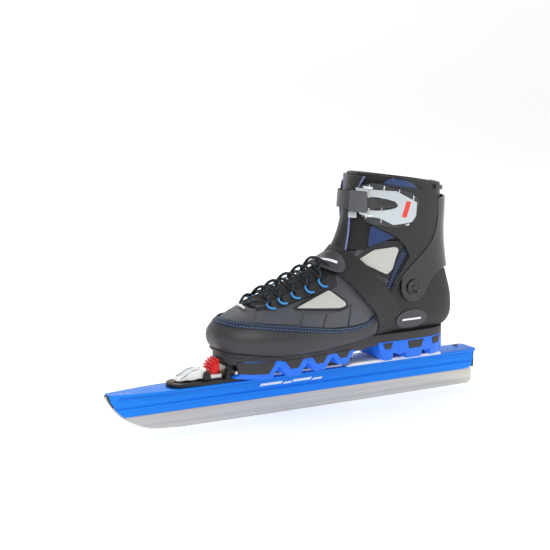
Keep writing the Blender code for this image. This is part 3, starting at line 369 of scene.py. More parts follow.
# Screen-printed white bars on the side and at the tip of the flange.
print_ink, tree, shader = stuff("white_screen_print", "F2F5F8", 0.5)
coords = put(tree, "TexCoord").outputs["Object"]
speckle = put(tree, "TexNoise", {"Scale": 2500.0, "Detail": 2.0}, {"Vector": coords})
bump = put(tree, "Bump", {"Strength": 0.2, "Distance": 0.00002}, {"Height": speckle.outputs["Fac"]})
tree.links.new(bump.outputs["Normal"], shader.inputs["Normal"])
PRINT = 0.00006
SLANT = 0.0022
SIDE_NAMES = {-1: "outer", 1: "inner"}
side_bars = [(-0.0560, 0.0270), (-0.0270, 0.0100), (-0.0150, 0.0230), (0.0100, 0.0120)]
for side in (-1, 1):
    for number, (x, length) in enumerate(side_bars):
        low, high = (0.0338, 0.0358) if number % 2 else (0.0345, 0.0372)
        bar = [(x, low), (x + length, low), (x + length + SLANT, high), (x + SLANT, high)]
        bm = drawn_along(bar, side * 0.0080, side * (0.0080 + PRINT))
        piece(f"runner_print_{SIDE_NAMES[side]}_{number}", bm, print_ink, "runner")
for number, x in enumerate((-0.2200, -0.2125)):
    bar = [(x, -0.0030), (x + 0.0030, -0.0045), (x + 0.0052, -0.0045), (x + 0.0022, -0.0030)]
    bm = drawn_along(bar, FLANGE_TOP, FLANGE_TOP + PRINT, "Z")
    piece(f"flange_print_{number}", bm, print_ink, "runner")

# ---------------------------------------------------------------- moulded parts
# Moulded parts all have a fine texture from their mould; the size of its cells and its depth
# differ from part to part. Blocks, prisms and screw heads are shared by the sections below.


def grained(made, size, depth, spread=(0.4, 0.6)):
    """Gives a material a pebbled grain of this size in metres."""
    _, tree, shader = made
    coords = put(tree, "TexCoord").outputs["Object"]
    cells = put(tree, "TexVoronoi", {"Scale": 1 / size, "feature": "SMOOTH_F1"}, {"Vector": coords})
    fine = put(tree, "TexNoise", {"Scale": 3 / size, "Detail": 4.0}, {"Vector": coords})
    parts = {0: cells.outputs["Distance"], 1: fine.outputs["Fac"]}
    height = put(tree, "Math", {"operation": "ADD"}, parts)
    bump = put(tree, "Bump", {"Strength": 0.6, "Distance": depth}, {"Height": height.outputs["Value"]})
    tree.links.new(bump.outputs["Normal"], shader.inputs["Normal"])
    limits = {"To Min": spread[0], "To Max": spread[1]}
    rough = put(tree, "MapRange", limits, {"Value": fine.outputs["Fac"]})
    tree.links.new(rough.outputs["Result"], shader.inputs["Roughness"])
    return made[0]


def merged(parts):
    """One bmesh from several; the others are freed."""
    whole = parts[0]
    for part in parts[1:]:
        mesh = bpy.data.meshes.new("part")
        part.to_mesh(mesh)
        part.free()
        whole.from_mesh(mesh)
        bpy.data.meshes.remove(mesh)
    return whole


def block(low, high, edge=0.0, segments=2):
    """A bmesh box between two corners, with rounded edges."""
    bm = bmesh.new()
    low, high = Vector(low), Vector(high)
    place = Matrix.Translation((low + high) / 2) @ Matrix.Diagonal((*(high - low), 1))
    bmesh.ops.create_cube(bm, size=1, matrix=place)
    if edge:
        round_edges(bm, edge, 30, segments)
    return bm


def rounded_prism(outline, low, high, along, edge, segments=2):
    """An outline drawn along an axis, with all its sharp edges rounded."""
    bm = drawn_along(outline, low, high, along)
    round_edges(bm, edge, 30, segments)
    return bm


def screw_head(x, y, z, radius, material, name):
    """A low round screw head with a hexagon socket, seen from above."""
    bm = bmesh.new()
    bmesh.ops.create_cone(
        bm, cap_ends=True, segments=40, radius1=radius, radius2=radius * 0.86, depth=0.0016,
    )
    top = max(bm.faces, key=lambda f: f.calc_center_median().z)
    bmesh.ops.inset_individual(bm, faces=[top], thickness=radius * 0.42, depth=0)
    bmesh.ops.inset_individual(bm, faces=[top], thickness=0.0003, depth=-0.0009)
    round_edges(bm, 0.00025, 25)
    bmesh.ops.translate(bm, verts=bm.verts, vec=(x, y, z))
    piece(name, bm, material, "runner", [name.replace("_head", "")])


black_plastic = grained(stuff("black_moulded_nylon", "131315", 0.42), 0.0008, 0.00005, (0.36, 0.5))
white_plastic = grained(stuff("white_moulded_nylon", "E9EBEA", 0.3), 0.0010, 0.00003, (0.25, 0.36))

# ---------------------------------------------------------------- end plugs
# Black nylon plugs close both ends of the tube. The front one has a pale line moulded down its
# curved face.
front_curve = [(-0.2325, 0.0446), (-0.2316, 0.0408), (-0.2262, 0.0316), (-0.2240, 0.0330)]
front_curve += [(-0.2235, 0.0420), (-0.2200, 0.0446)]
bm = rounded_prism(front_curve, -0.0056, 0.0056, "Y", 0.0008)
piece("front_plug_cap", bm, black_plastic, "runner", ["front_end_plug"])
pale_line = [(-0.2327, 0.0440), (-0.2318, 0.0407), (-0.2270, 0.0324), (-0.2267, 0.0326)]
pale_line += [(-0.2314, 0.0408), (-0.2323, 0.0440)]
bm = drawn_along(pale_line, -0.0012, 0.0012)
piece("front_plug_line", bm, white_plastic, "runner")
bm = block((0.2325, -0.0070, 0.0220), (0.2350, 0.0070, 0.0424), 0.0009)
piece("rear_plug_cap", bm, black_plastic, "runner", ["rear_end_plug"])

# ---------------------------------------------------------------- binding
# The toe binding is a nylon base screwed to the flange. Its side cheeks carry the boot's toe bar;
# a white lever in front works the latch, and a red rubber flexor pushes the heel down again.
ON_FLANGE = 0.0462
BASE_TOP = 0.0502
BASE_HALF = 0.0165
NOSE_X = -0.1490
NOSE_RADIUS = 0.0140
nose = [
    (NOSE_X - NOSE_RADIUS * math.sin(math.radians(a)), NOSE_RADIUS * math.cos(math.radians(a)))
    for a in range(0, 181, 12)
]
plan = nose + [(-0.1250, -BASE_HALF), (-0.0700, -BASE_HALF), (-0.0700, BASE_HALF), (-0.1250, BASE_HALF)]
base_parts = [rounded_prism(plan, ON_FLANGE, BASE_TOP, "Z", 0.0008)]
for side in (-1, 1):
    cheek = [(-0.1010, 0.0490), (-0.0860, 0.0490), (-0.0862, 0.0600), (-0.0880, 0.0665), (-0.0925, 0.0672)]
    cheek += [(-0.0960, 0.0650), (-0.1000, 0.0570)]
    low, high = sorted((side * 0.0120, side * 0.0162))
    base_parts.append(rounded_prism(cheek, low, high, "Y", 0.0007))
    ear = [(-0.1260, 0.0490), (-0.1170, 0.0490), (-0.1178, 0.0580), (-0.1200, 0.0600), (-0.1235, 0.0600)]
    ear += [(-0.1255, 0.0570)]
    low, high = sorted((side * 0.0101, side * 0.0131))
    base_parts.append(rounded_prism(ear, low, high, "Y", 0.0005))

RIB_START = -0.1150
RIB_SPACING = 0.0058
RIB_WIDTH = 0.0022
for i in range(6):
    x = RIB_START + RIB_SPACING * i
    base_parts.append(block((x, -0.0166, 0.0480), (x + RIB_WIDTH, 0.0166, 0.0509), 0.0005))
bm = merged(base_parts)
piece("binding_base_casting", bm, black_plastic, "runner", ["binding_base"])
worn = grained(stuff("darkened_screw_steel", "6E6258", 0.34, Metallic=1.0), 0.0006, 0.00003, (0.25, 0.4))
screw_head(-0.1575, 0, 0.0508, 0.0040, worn, "base_screw_front_head")
screw_head(-0.0765, 0, 0.0508, 0.0036, worn, "base_screw_rear_head")
screw_head(0.2195, 0.0090, 0.0466, 0.0028, worn, "flange_screw_head")
for number, x in ((1, 0.0640), (2, 0.1640)):
    screw_head(x, 0, 0.0504, 0.0036, worn, f"heel_plate_screw_{number}_head")

LEVER_HALF = 0.0092
LEVER_TIP_X = -0.1535
LEVER_TAPER = 0.0140
LEVER_TIP_SHARE = 0.55
LEVER_REST_SHARE = 0.45
lever_side = [
    (LEVER_TIP_X, 0.0518), (-0.1490, 0.0545), (-0.1440, 0.0562), (-0.1380, 0.0600),
    (-0.1300, 0.0614),
]
lever_side += [(-0.1225, 0.0606), (-0.1190, 0.0570), (-0.1195, 0.0530), (-0.1240, 0.0520), (-0.1300, 0.0524)]
lever_side += [(-0.1360, 0.0516), (-0.1430, 0.0522), (-0.1490, 0.0514)]
bm = drawn_along(
    [p[:2] for p in smooth_line([(x, z, 0) for x, z in lever_side], 4, True)], -LEVER_HALF,
    LEVER_HALF,
)
for vert in bm.verts:
    narrow = LEVER_TIP_SHARE + LEVER_REST_SHARE * min(1.0, (vert.co.x - LEVER_TIP_X) / LEVER_TAPER)
    vert.co.y *= narrow
round_edges(bm, 0.0012, 50, 3)
clear_white = grained(
    stuff("milky_lever_plastic", "EDEFF0", 0.2, Coat_Weight=0.3), 0.0020, 0.00002, (0.14, 0.24),
)
piece("lever_wedge", bm, clear_white, "binding_lever", ["binding_lever"])
grey_line = grained(stuff("grey_moulded_line", "8C9196", 0.35), 0.0010, 0.00002)
RIDGE_RADIUS = 0.0005
ridge = smooth_line(
    [(-0.1500, 0, 0.0553), (-0.1430, 0, 0.0580), (-0.1360, 0, 0.0616), (-0.1290, 0, 0.0622)], 6,
)
for side in (-1, 1):
    parts = []
    for near, far in zip(ridge, ridge[1:]):
        bm = bmesh.new()
        length = (far - near).length
        bmesh.ops.create_cone(
            bm, cap_ends=True, segments=8, radius1=RIDGE_RADIUS, radius2=RIDGE_RADIUS,
            depth=length * 1.1,
        )
        turn = (far - near).to_track_quat("Z", "Y").to_matrix().to_4x4()
        spot = (near + far) / 2 + Vector((0, side * 0.0066, -0.0008))
        bmesh.ops.transform(bm, matrix=Matrix.Translation(spot) @ turn, verts=bm.verts)
        parts.append(bm)
    piece(f"lever_ridge_{SIDE_NAMES[side]}", merged(parts), grey_line, "binding_lever")

# The flexor is a fan of five soft ribs on a thin core; it stands in a white cup.
red_rubber = grained(stuff("red_flexor_rubber", "E01212", 0.4), 0.0008, 0.00004, (0.32, 0.46))
fan_parts = [
    rounded_prism(
        [(-0.1150, 0.0546), (-0.1036, 0.0546), (-0.1050, 0.0690), (-0.1090, 0.0680)], -0.0075,
        0.0075, "Y", 0.0008,
    )
]
FLEXOR_RIBS = 5
FIRST_RIB_ANGLE = 96
RIB_FAN_STEP = 15
FIRST_RIB_REACH = 0.0155
RIB_SHORTENING = 0.0009
root = Vector((-0.1055, 0, 0.0560))
for rib in range(FLEXOR_RIBS):
    turn = math.radians(FIRST_RIB_ANGLE + RIB_FAN_STEP * rib)
    reach = FIRST_RIB_REACH - RIB_SHORTENING * rib
    tip = root + Vector((math.cos(turn), 0, math.sin(turn))) * reach
    across = Vector((-math.sin(turn), 0, math.cos(turn))) * 0.00115
    quad = [root - across, tip - across, tip + across, root + across]
    fan_parts.append(rounded_prism([(p.x, max(p.z, 0.0547)) for p in quad], -0.0094, 0.0094, "Y", 0.0006))
flexor = piece("flexor_ribs", merged(fan_parts), red_rubber, "runner", ["flexor"])
cup = block((-0.1185, -0.0108, 0.0508), (-0.1030, 0.0108, 0.0549), 0.0009, 3)
piece("flexor_cup", cup, white_plastic, "runner", ["flexor_rim"])
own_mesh(flexor)

# ---------------------------------------------------------------- rail and heel plate
# A black nylon rail lies on the flange under the arch, with a thin white edge on each side. The
# white heel plate behind it has a ramp at each end, and the heel rests on it.
rail = rounded_prism(
    [
        (-0.0696, ON_FLANGE), (0.0478, ON_FLANGE), (0.0478, 0.0492), (0.0440, 0.0500),
        (-0.0696, 0.0500),
    ],
    -0.0120, 0.0120, "Y", 0.0006,
)
piece("rail_bar", rail, black_plastic, "runner", ["binding_rail"])
for side in (-1, 1):
    low, high = sorted((side * 0.0121, side * 0.0131))
    strip = block((-0.0690, low, ON_FLANGE), (0.0470, high, 0.0482), 0.0002)
    piece(f"rail_edge_{SIDE_NAMES[side]}", strip, white_plastic, "runner")
plate_side = [
    (0.0484, 0.0463), (0.1770, 0.0463), (0.1768, 0.0486), (0.1740, 0.0500), (0.0560, 0.0500),
    (0.0486, 0.0480),
]
plate = rounded_prism(plate_side, -0.0205, 0.0205, "Y", 0.0010)
piece("heel_plate_moulding", plate, white_plastic, "runner", ["heel_plate"])

# ---------------------------------------------------------------- sole
# A dark rubber midsole over bright blue tread blocks. The forefoot has three V blocks with dark
# hearts behind a long front block; the heel is one block with dark wedges let into its sides.
blue_rubber = grained(stuff("blue_tread_rubber", "0A6EEA", 0.36), 0.0010, 0.00005, (0.3, 0.42))
sole_rubber = grained(stuff("dark_sole_rubber", "2B2A2E", 0.5), 0.0010, 0.00006)
SOLE_OUTER = [(-0.1040, 0.0040), (-0.0990, 0.0165), (-0.0885, 0.0280), (-0.0700, 0.0385), (-0.0400, 0.0445)]
SOLE_OUTER += [(-0.0050, 0.0430), (0.0350, 0.0370), (0.0750, 0.0330), (0.1250, 0.0335), (0.1580, 0.0300)]
SOLE_OUTER += [(0.1760, 0.0210), (0.1840, 0.0080)]
SOLE_INNER = [(-0.1040, 0.0090), (-0.0990, 0.0205), (-0.0885, 0.0315), (-0.0700, 0.0405), (-0.0400, 0.0450)]
SOLE_INNER += [(-0.0050, 0.0410), (0.0350, 0.0330), (0.0750, 0.0300), (0.1250, 0.0330), (0.1580, 0.0300)]
SOLE_INNER += [(0.1760, 0.0210), (0.1840, 0.0080)]
outer_line = smooth_line([(x, y, 0) for x, y in SOLE_OUTER], 6)
inner_line = smooth_line([(x, y, 0) for x, y in SOLE_INNER], 6)


RULE_STEP = 0.004


def ruled(outline, inset, edge, depth=None):
    """A slab with this outline from the side, whose sides follow the plan of the sole. Depth, if
    given, makes a thin inlay along each side instead of a slab right across."""
    parts = []
    spans = [(None, None)] if depth is None else [(side, depth) for side in (-1, 1)]
    for side, deep in spans:
        bm = drawn_along(outline, -1.0, 1.0)
        low = min(v.co.x for v in bm.verts)
        high = max(v.co.x for v in bm.verts)
        for i in range(1, int((high - low) / RULE_STEP) + 1):
            whole = bm.verts[:] + bm.edges[:] + bm.faces[:]
            spot = (low + i * RULE_STEP, 0, 0)
            bmesh.ops.bisect_plane(bm, geom=whole, plane_co=spot, plane_no=(1, 0, 0), dist=1e-6)
        for vert in bm.verts:
            outer = -read_line([(p.x, p.y) for p in outer_line], vert.co.x) + inset
            inner = read_line([(p.x, p.y) for p in inner_line], vert.co.x) - inset
            if side is None:
                vert.co.y = outer if vert.co.y < 0 else inner
            elif side < 0:
                vert.co.y = outer if vert.co.y < 0 else outer + deep
            else:
                vert.co.y = inner if vert.co.y > 0 else inner - deep
        bmesh.ops.remove_doubles(bm, verts=bm.verts, dist=0.00002)
        round_edges(bm, edge, 40)
        parts.append(bm)
    return merged(parts)


midsole = [(-0.1040, 0.0815), (-0.1035, 0.0700), (-0.0985, 0.0655), (-0.0930, 0.0655), (-0.0925, 0.0690)]
midsole += [
    (-0.0500, 0.0655), (0.0480, 0.0665), (0.0800, 0.0700), (0.1100, 0.0715), (0.1840, 0.0715),
    (0.1840, 0.0815),
]
piece("midsole_slab", ruled(midsole, 0.0004, 0.0010), sole_rubber, "boot", ["sole_core"])
front_block = [(-0.0950, 0.0508), (-0.0590, 0.0508), (-0.0505, 0.0640), (-0.0480, 0.0700), (-0.0860, 0.0700)]
front_block += [(-0.0880, 0.0580)]
v_blocks = [
    [
        (-0.0570, 0.0690), (-0.0555, 0.0640), (-0.0510, 0.0640), (-0.0395, 0.0512),
        (-0.0265, 0.0512), (-0.0160, 0.0640), (-0.0110, 0.0640), (-0.0100, 0.0690),
    ],
    [
        (-0.0205, 0.0690), (-0.0195, 0.0640), (-0.0150, 0.0640), (-0.0060, 0.0530),
        (0.0070, 0.0530), (0.0165, 0.0645), (0.0215, 0.0645), (0.0225, 0.0690),
    ],
    [
        (0.0130, 0.0690), (0.0140, 0.0650), (0.0190, 0.0650), (0.0275, 0.0550), (0.0395, 0.0550),
        (0.0470, 0.0660), (0.0500, 0.0665), (0.0510, 0.0690),
    ],
]
hearts = [
    [(-0.0450, 0.0700), (-0.0375, 0.0600), (-0.0285, 0.0600), (-0.0215, 0.0700)],
    [(-0.0105, 0.0700), (-0.0040, 0.0610), (0.0050, 0.0610), (0.0115, 0.0700)],
    [(0.0225, 0.0700), (0.0295, 0.0625), (0.0375, 0.0625), (0.0430, 0.0700)],
]
tread = merged([ruled(front_block, 0.0, 0.0008)] + [ruled(v, 0.0, 0.0008) for v in v_blocks])
piece("forefoot_blocks", tread, blue_rubber, "boot", ["forefoot_tread"])
front_heart = [(-0.0930, 0.0690), (-0.0905, 0.0562), (-0.0625, 0.0562), (-0.0560, 0.0660), (-0.0550, 0.0700)]
dark_inlay = merged([ruled(h, -0.0006, 0.0005, depth=0.0040) for h in hearts + [front_heart]])
piece("forefoot_hearts", dark_inlay, sole_rubber, "boot")
heel_block = [
    (0.0815, 0.0725), (0.0830, 0.0640), (0.0880, 0.0540), (0.0905, 0.0512), (0.1000, 0.0512),
    (0.1020, 0.0590),
]
heel_block += [
    (0.1100, 0.0560), (0.1180, 0.0590), (0.1200, 0.0512), (0.1400, 0.0512), (0.1420, 0.0590),
    (0.1475, 0.0565),
]
heel_block += [
    (0.1525, 0.0590), (0.1545, 0.0512), (0.1700, 0.0512), (0.1760, 0.0560), (0.1820, 0.0640),
    (0.1830, 0.0725),
]
piece("heel_block", ruled(heel_block, 0.0, 0.0010), blue_rubber, "boot", ["heel_tread"])
wedges = [
    [(0.0880, 0.0712), (0.0905, 0.0640), (0.0985, 0.0640), (0.1010, 0.0712)],
    [(0.1205, 0.0712), (0.1230, 0.0620), (0.1400, 0.0620), (0.1440, 0.0712)],
    [(0.1560, 0.0712), (0.1580, 0.0630), (0.1680, 0.0630), (0.1720, 0.0712)],
]
piece("heel_wedges", merged([ruled(w, -0.0005, 0.0005, depth=0.0030) for w in wedges]), sole_rubber, "boot")
insole = grained(stuff("grey_insole_cloth", "3A3B3F", 0.85), 0.0012, 0.00008)
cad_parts["footbed"].data.materials[0] = insole
PINS = ("lever_pin", "buckle_pin_upper", "buckle_pin_lower", "strap_anchor_pin")
for name in ("toe_bar", "latch_jaw", *PINS):
    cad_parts[name].data.materials[0] = steel

# ---------------------------------------------------------------- leather upper
# Coated grey leather over the whole foot, stitched from shaped pieces and lasted over a left foot.
# It is open along the instep and stops below the cuff.
#
# Each ring of the foot's form has its top point's x and z, its low point's x and z, half its
# width, its middle's y, the share of its height at which it is widest, the roundness of its upper
# half, and how far its crest leans to the inner side. The rings run from the toe to the collar.
RINGS = [
    (-0.1065, 0.0985, -0.1065, 0.0890, 0.0100, 0.0040, 0.50, 2.0, 0.000),
    (-0.1015, 0.1065, -0.1020, 0.0800, 0.0205, 0.0038, 0.48, 2.0, 0.000),
    (-0.0915, 0.1135, -0.0935, 0.0730, 0.0305, 0.0032, 0.45, 2.0, 0.001),
    (-0.0745, 0.1225, -0.0765, 0.0690, 0.0405, 0.0020, 0.42, 1.9, 0.002),
    (-0.0480, 0.1320, -0.0490, 0.0665, 0.0470, 0.0000, 0.38, 1.75, 0.003),
    (-0.0190, 0.1430, -0.0180, 0.0665, 0.0485, -0.0010, 0.36, 1.65, 0.004),
    (0.0100, 0.1555, 0.0140, 0.0670, 0.0460, -0.0010, 0.38, 1.60, 0.004),
    (0.0320, 0.1680, 0.0520, 0.0695, 0.0415, -0.0005, 0.42, 1.60, 0.003),
    (0.0450, 0.1810, 0.0980, 0.0735, 0.0375, 0.0000, 0.46, 1.70, 0.001),
    (0.0515, 0.1940, 0.1520, 0.0740, 0.0360, 0.0000, 0.50, 1.85, 0.000),
    (0.0560, 0.2060, 0.1870, 0.0850, 0.0365, 0.0000, 0.52, 2.0, 0.000),
    (0.0590, 0.2180, 0.1905, 0.1120, 0.0380, 0.0000, 0.54, 2.1, 0.000),
    (0.0615, 0.2300, 0.1800, 0.1470, 0.0400, 0.0000, 0.55, 2.1, 0.000),
    (0.0635, 0.2420, 0.1738, 0.1850, 0.0415, 0.0000, 0.55, 2.1, 0.000),
    (0.0655, 0.2560, 0.1735, 0.2200, 0.0425, 0.0000, 0.54, 2.1, 0.000),
    (0.0665, 0.2700, 0.1725, 0.2520, 0.0430, 0.0000, 0.53, 2.1, 0.000),
    (0.0665, 0.2850, 0.1700, 0.2800, 0.0430, 0.0000, 0.53, 2.1, 0.000),
]
SOLE_ROUNDNESS = 3.0


def form_point(around, along):
    """A point on the foot's form: around in turns from the crest by the outer side, along in rings."""
    index = min(int(along), len(RINGS) - 2)
    t = along - index
    rows = [RINGS[max(0, min(len(RINGS) - 1, index + k))] for k in (-1, 0, 1, 2)]
    values = []
    for a, b, c, d in zip(*rows):
        square = (2 * a - 5 * b + 4 * c - d) * t**2
        cube = (3 * b - a - 3 * c + d) * t**3
        values.append(0.5 * (2 * b + (c - a) * t + square + cube))
    top_x, top_z, low_x, low_z, half, middle_y, belly, roundness, lean = values
    low = Vector((low_x, middle_y, low_z))
    high = Vector((top_x, middle_y, top_z))
    angle = 2 * math.pi * around
    up, side = math.cos(angle), -math.sin(angle)
    power = 2 / (roundness if up > 0 else SOLE_ROUNDNESS)
    rise = abs(up) ** power
    spread = math.copysign(abs(side) ** power, side)
    middle = low.lerp(high, belly)
    end = high if up > 0 else low
    tilt = lean * rise if up > 0 else 0
    return middle + (end - middle) * rise + Vector((0, half * spread + tilt, 0))


def form_skin(lift, around=96, per_ring=7):
    """The form's face moved out by lift, closed at the toe and open at the collar."""
    bm = bmesh.new()
    rows = (len(RINGS) - 1) * per_ring
    bmesh.ops.create_grid(bm, x_segments=around, y_segments=rows, size=0.5)
    for vert in bm.verts:
        vert.co = form_point(vert.co.x + 0.5, (vert.co.y + 0.5) * (len(RINGS) - 1))
    bmesh.ops.remove_doubles(bm, verts=bm.verts, dist=0.00001)
    edges = [e for e in bm.edges if e.is_boundary and e.verts[0].co.x < -0.05]
    cap = bmesh.ops.holes_fill(bm, edges=edges)["faces"]
    bmesh.ops.poke(bm, faces=cap)
    bmesh.ops.recalc_face_normals(bm, faces=bm.faces)
    if sum(f.normal.x * (f.calc_center_median().x - 0.04) for f in bm.faces) < 0:
        bmesh.ops.reverse_faces(bm, faces=bm.faces)
    for _ in range(3):
        bmesh.ops.smooth_vert(
            bm, verts=bm.verts, factor=0.4, use_axis_x=True, use_axis_y=True, use_axis_z=True
        )
    bm.normal_update()
    moves = [(v, v.normal * lift) for v in bm.verts]
    for vert, move in moves:
        vert.co += move
    return bm


form = form_skin(0)
form.faces.ensure_lookup_table()
form_tree = BVHTree.FromBMesh(form)
AXIS_X = 0.1230
CHART_RADIUS = 0.0520
SPINE_FRONT = -0.0500
SPINE_BACK = 0.1400
RAY_REACH = 0.2


def lifted(hit, index, lift):
    """The hit moved out along the form's smooth normal."""
    verts = form.faces[index].verts
    weights = poly_3d_calc([v.co for v in verts], hit)
    normal = sum((v.normal * w for v, w in zip(verts, weights)), Vector())
    return hit + normal.normalized() * lift


def on_form(chart, a, b, lift):
    """A point above the form. The charts are outer and inner (x, z seen from that side), crown
    (x, y seen from above), ring (distance round the shaft, z) and plan (distance round the foot
    from the toe's tip, z). Distances are positive towards the inner side."""
    if chart in ("outer", "inner"):
        sign = -1 if chart == "outer" else 1
        start, aim = Vector((a, sign * RAY_REACH, b)), Vector((0, -sign, 0))
    elif chart == "crown":
        start, aim = Vector((a, b, 0.4)), Vector((0, 0, -1))
    elif chart == "ring":
        turn = a / CHART_RADIUS
        aim = Vector((math.cos(turn), -math.sin(turn), 0))
        start = Vector((AXIS_X, 0, b)) - aim * RAY_REACH
    else:
        quarter = CHART_RADIUS * math.pi / 2
        far = SPINE_BACK - SPINE_FRONT
        reach = abs(a)
        sign = 1 if a >= 0 else -1
        if reach < quarter:
            turn = reach / CHART_RADIUS
            centre, aim = Vector((SPINE_FRONT, 0, b)), Vector((math.cos(turn), -sign * math.sin(turn), 0))
        elif reach < quarter + far:
            centre, aim = Vector((SPINE_FRONT + reach - quarter, 0, b)), Vector((0, -sign, 0))
        else:
            turn = (reach - quarter - far) / CHART_RADIUS
            centre, aim = Vector((SPINE_BACK, 0, b)), Vector((-math.sin(turn), -sign * math.cos(turn), 0))
        start = centre - aim * RAY_REACH
    hit, _, index, _ = form_tree.ray_cast(start, aim)
    if hit is None:
        hit, _, index, _ = form_tree.find_nearest(start + aim * 0.15)
    return lifted(hit, index, lift)


def thicken(bm, thickness, edge):
    """Gives an open sheet with outward normals a back face and rounds its outer rim."""
    bm.normal_update()
    bmesh.ops.solidify(bm, geom=bm.faces[:], thickness=thickness)
    bmesh.ops.recalc_face_normals(bm, faces=bm.faces)
    if edge:
        round_edges(bm, edge, 50)


def sheet_on(name, outline, chart, lift, thickness, material, body="boot", **more):
    """A sheet on the form with this outline in a chart: more gives step, corner, edge, stands_for."""
    step = more.get("step", 0.0025)
    corner = more.get("corner", 0.003)
    bm = bmesh.new()
    face = bm.faces.new([bm.verts.new((a, b, 0)) for a, b in outline])
    if corner:
        bmesh.ops.bevel(
            bm,
            geom=bm.verts[:],
            offset=corner,
            segments=3,
            profile=0.5,
            affect="VERTICES",
            material=-1,
            clamp_overlap=True,
        )
    for axis in (0, 1):
        low = min(v.co[axis] for v in bm.verts)
        high = max(v.co[axis] for v in bm.verts)
        for i in range(1, int((high - low) / step) + 1):
            spot = [0, 0, 0]
            spot[axis] = low + i * step
            direction = [int(axis == 0), int(axis == 1), 0]
            whole = bm.verts[:] + bm.edges[:] + bm.faces[:]
            bmesh.ops.bisect_plane(bm, geom=whole, plane_co=spot, plane_no=direction, dist=1e-6)
    uv = bm.loops.layers.uv.new("millimetres")
    for face in bm.faces:
        for loop in face.loops:
            loop[uv].uv = (loop.vert.co.x * 1000, loop.vert.co.y * 1000)
    for vert in bm.verts:
        rise = lift(vert.co.x, vert.co.y) if callable(lift) else lift
        vert.co = on_form(chart, vert.co.x, vert.co.y, rise)
    bmesh.ops.recalc_face_normals(bm, faces=bm.faces)
    face = max(bm.faces, key=lambda f: f.calc_area())
    middle = face.calc_center_median()
    hit, _, index, _ = form_tree.find_nearest(middle)
    if face.normal.dot(lifted(hit, index, 1.0) - hit) < 0:
        bmesh.ops.reverse_faces(bm, faces=bm.faces)
    thicken(bm, thickness, more.get("edge", 0.0004))
    return piece(name, bm, material, body, more.get("stands_for", ()))


def nearest(point, lift):
    """The place on the form nearest to a point, lifted."""
    hit, _, index, _ = form_tree.find_nearest(point)
    return lifted(hit, index, lift)


def band_on(name, path, width, lift, thickness, material, body="boot", **more):
    """A band of webbing or sheet that follows a path over the form, from points near it."""
    line = smooth_line(path, more.get("steps", 6))
    across = more.get("across", 8)
    edge = more.get("edge", 0.0004)
    bm = bmesh.new()
    bmesh.ops.create_grid(bm, x_segments=len(line) - 1, y_segments=across, size=0.5)
    uv = bm.loops.layers.uv.new("millimetres")
    lengths = [0.0]
    for near, far in zip(line, line[1:]):
        lengths.append(lengths[-1] + (far - near).length)
    spots = {}
    for vert in bm.verts:
        row = round((vert.co.x + 0.5) * (len(line) - 1))
        share = vert.co.y
        here = width(row / (len(line) - 1)) if callable(width) else width
        spots[vert] = (lengths[row] * 1000, share * here * 1000)
        tangent = line[min(row + 1, len(line) - 1)] - line[max(row - 1, 0)]
        centre = nearest(line[row], 0)
        sideways = tangent.cross(nearest(line[row], 0.01) - centre).normalized()
        rise = lift(row / (len(line) - 1)) if callable(lift) else lift
        vert.co = nearest(centre + sideways * share * here, rise)
    for face in bm.faces:
        for loop in face.loops:
            loop[uv].uv = spots[loop.vert]
    bmesh.ops.recalc_face_normals(bm, faces=bm.faces)
    bm.faces.ensure_lookup_table()
    face = bm.faces[len(bm.faces) // 2]
    hit, _, index, _ = form_tree.find_nearest(face.calc_center_median())
    if face.normal.dot(lifted(hit, index, 1.0) - hit) < 0:
        bmesh.ops.reverse_faces(bm, faces=bm.faces)
    thicken(bm, thickness, edge)
    return piece(name, bm, material, body, more.get("stands_for", ()))


def tube(points, radius, sides=10, flat=1.0):
    """A round cord through points; flat under one presses it along the direction it stands on."""
    bm = bmesh.new()
    bmesh.ops.create_grid(bm, x_segments=len(points) - 1, y_segments=sides, size=0.5)
    uv = bm.loops.layers.uv.new("millimetres")
    along = [0.0]
    for near, far in zip(points, points[1:]):
        along.append(along[-1] + (far - near).length)
    spots = {}
    for vert in bm.verts:
        row = round((vert.co.x + 0.5) * (len(points) - 1))
        turn = 2 * math.pi * (vert.co.y + 0.5)
        spots[vert] = (along[row] * 1000, (vert.co.y + 0.5) * 6.28 * radius * 1000)
        tangent = (points[min(row + 1, len(points) - 1)] - points[max(row - 1, 0)]).normalized()
        hit, normal, _, _ = form_tree.find_nearest(points[row])
        sideways = tangent.cross(normal).normalized()
        upward = sideways.cross(tangent)
        vert.co = points[row] + (sideways * math.cos(turn) + upward * math.sin(turn) * flat) * radius
    for face in bm.faces:
        for loop in face.loops:
            loop[uv].uv = spots[loop.vert]
    bmesh.ops.remove_doubles(bm, verts=bm.verts, dist=0.000005)
    bmesh.ops.holes_fill(bm, edges=[e for e in bm.edges if e.is_boundary])
    bmesh.ops.recalc_face_normals(bm, faces=bm.faces)
    return bm


def chart_line(chart, points, lift, steps=8):
    """A smooth line through chart points, on the form."""
    flat = smooth_line([(a, b, 0) for a, b in points], steps)
    return [on_form(chart, p.x, p.y, lift) for p in flat]


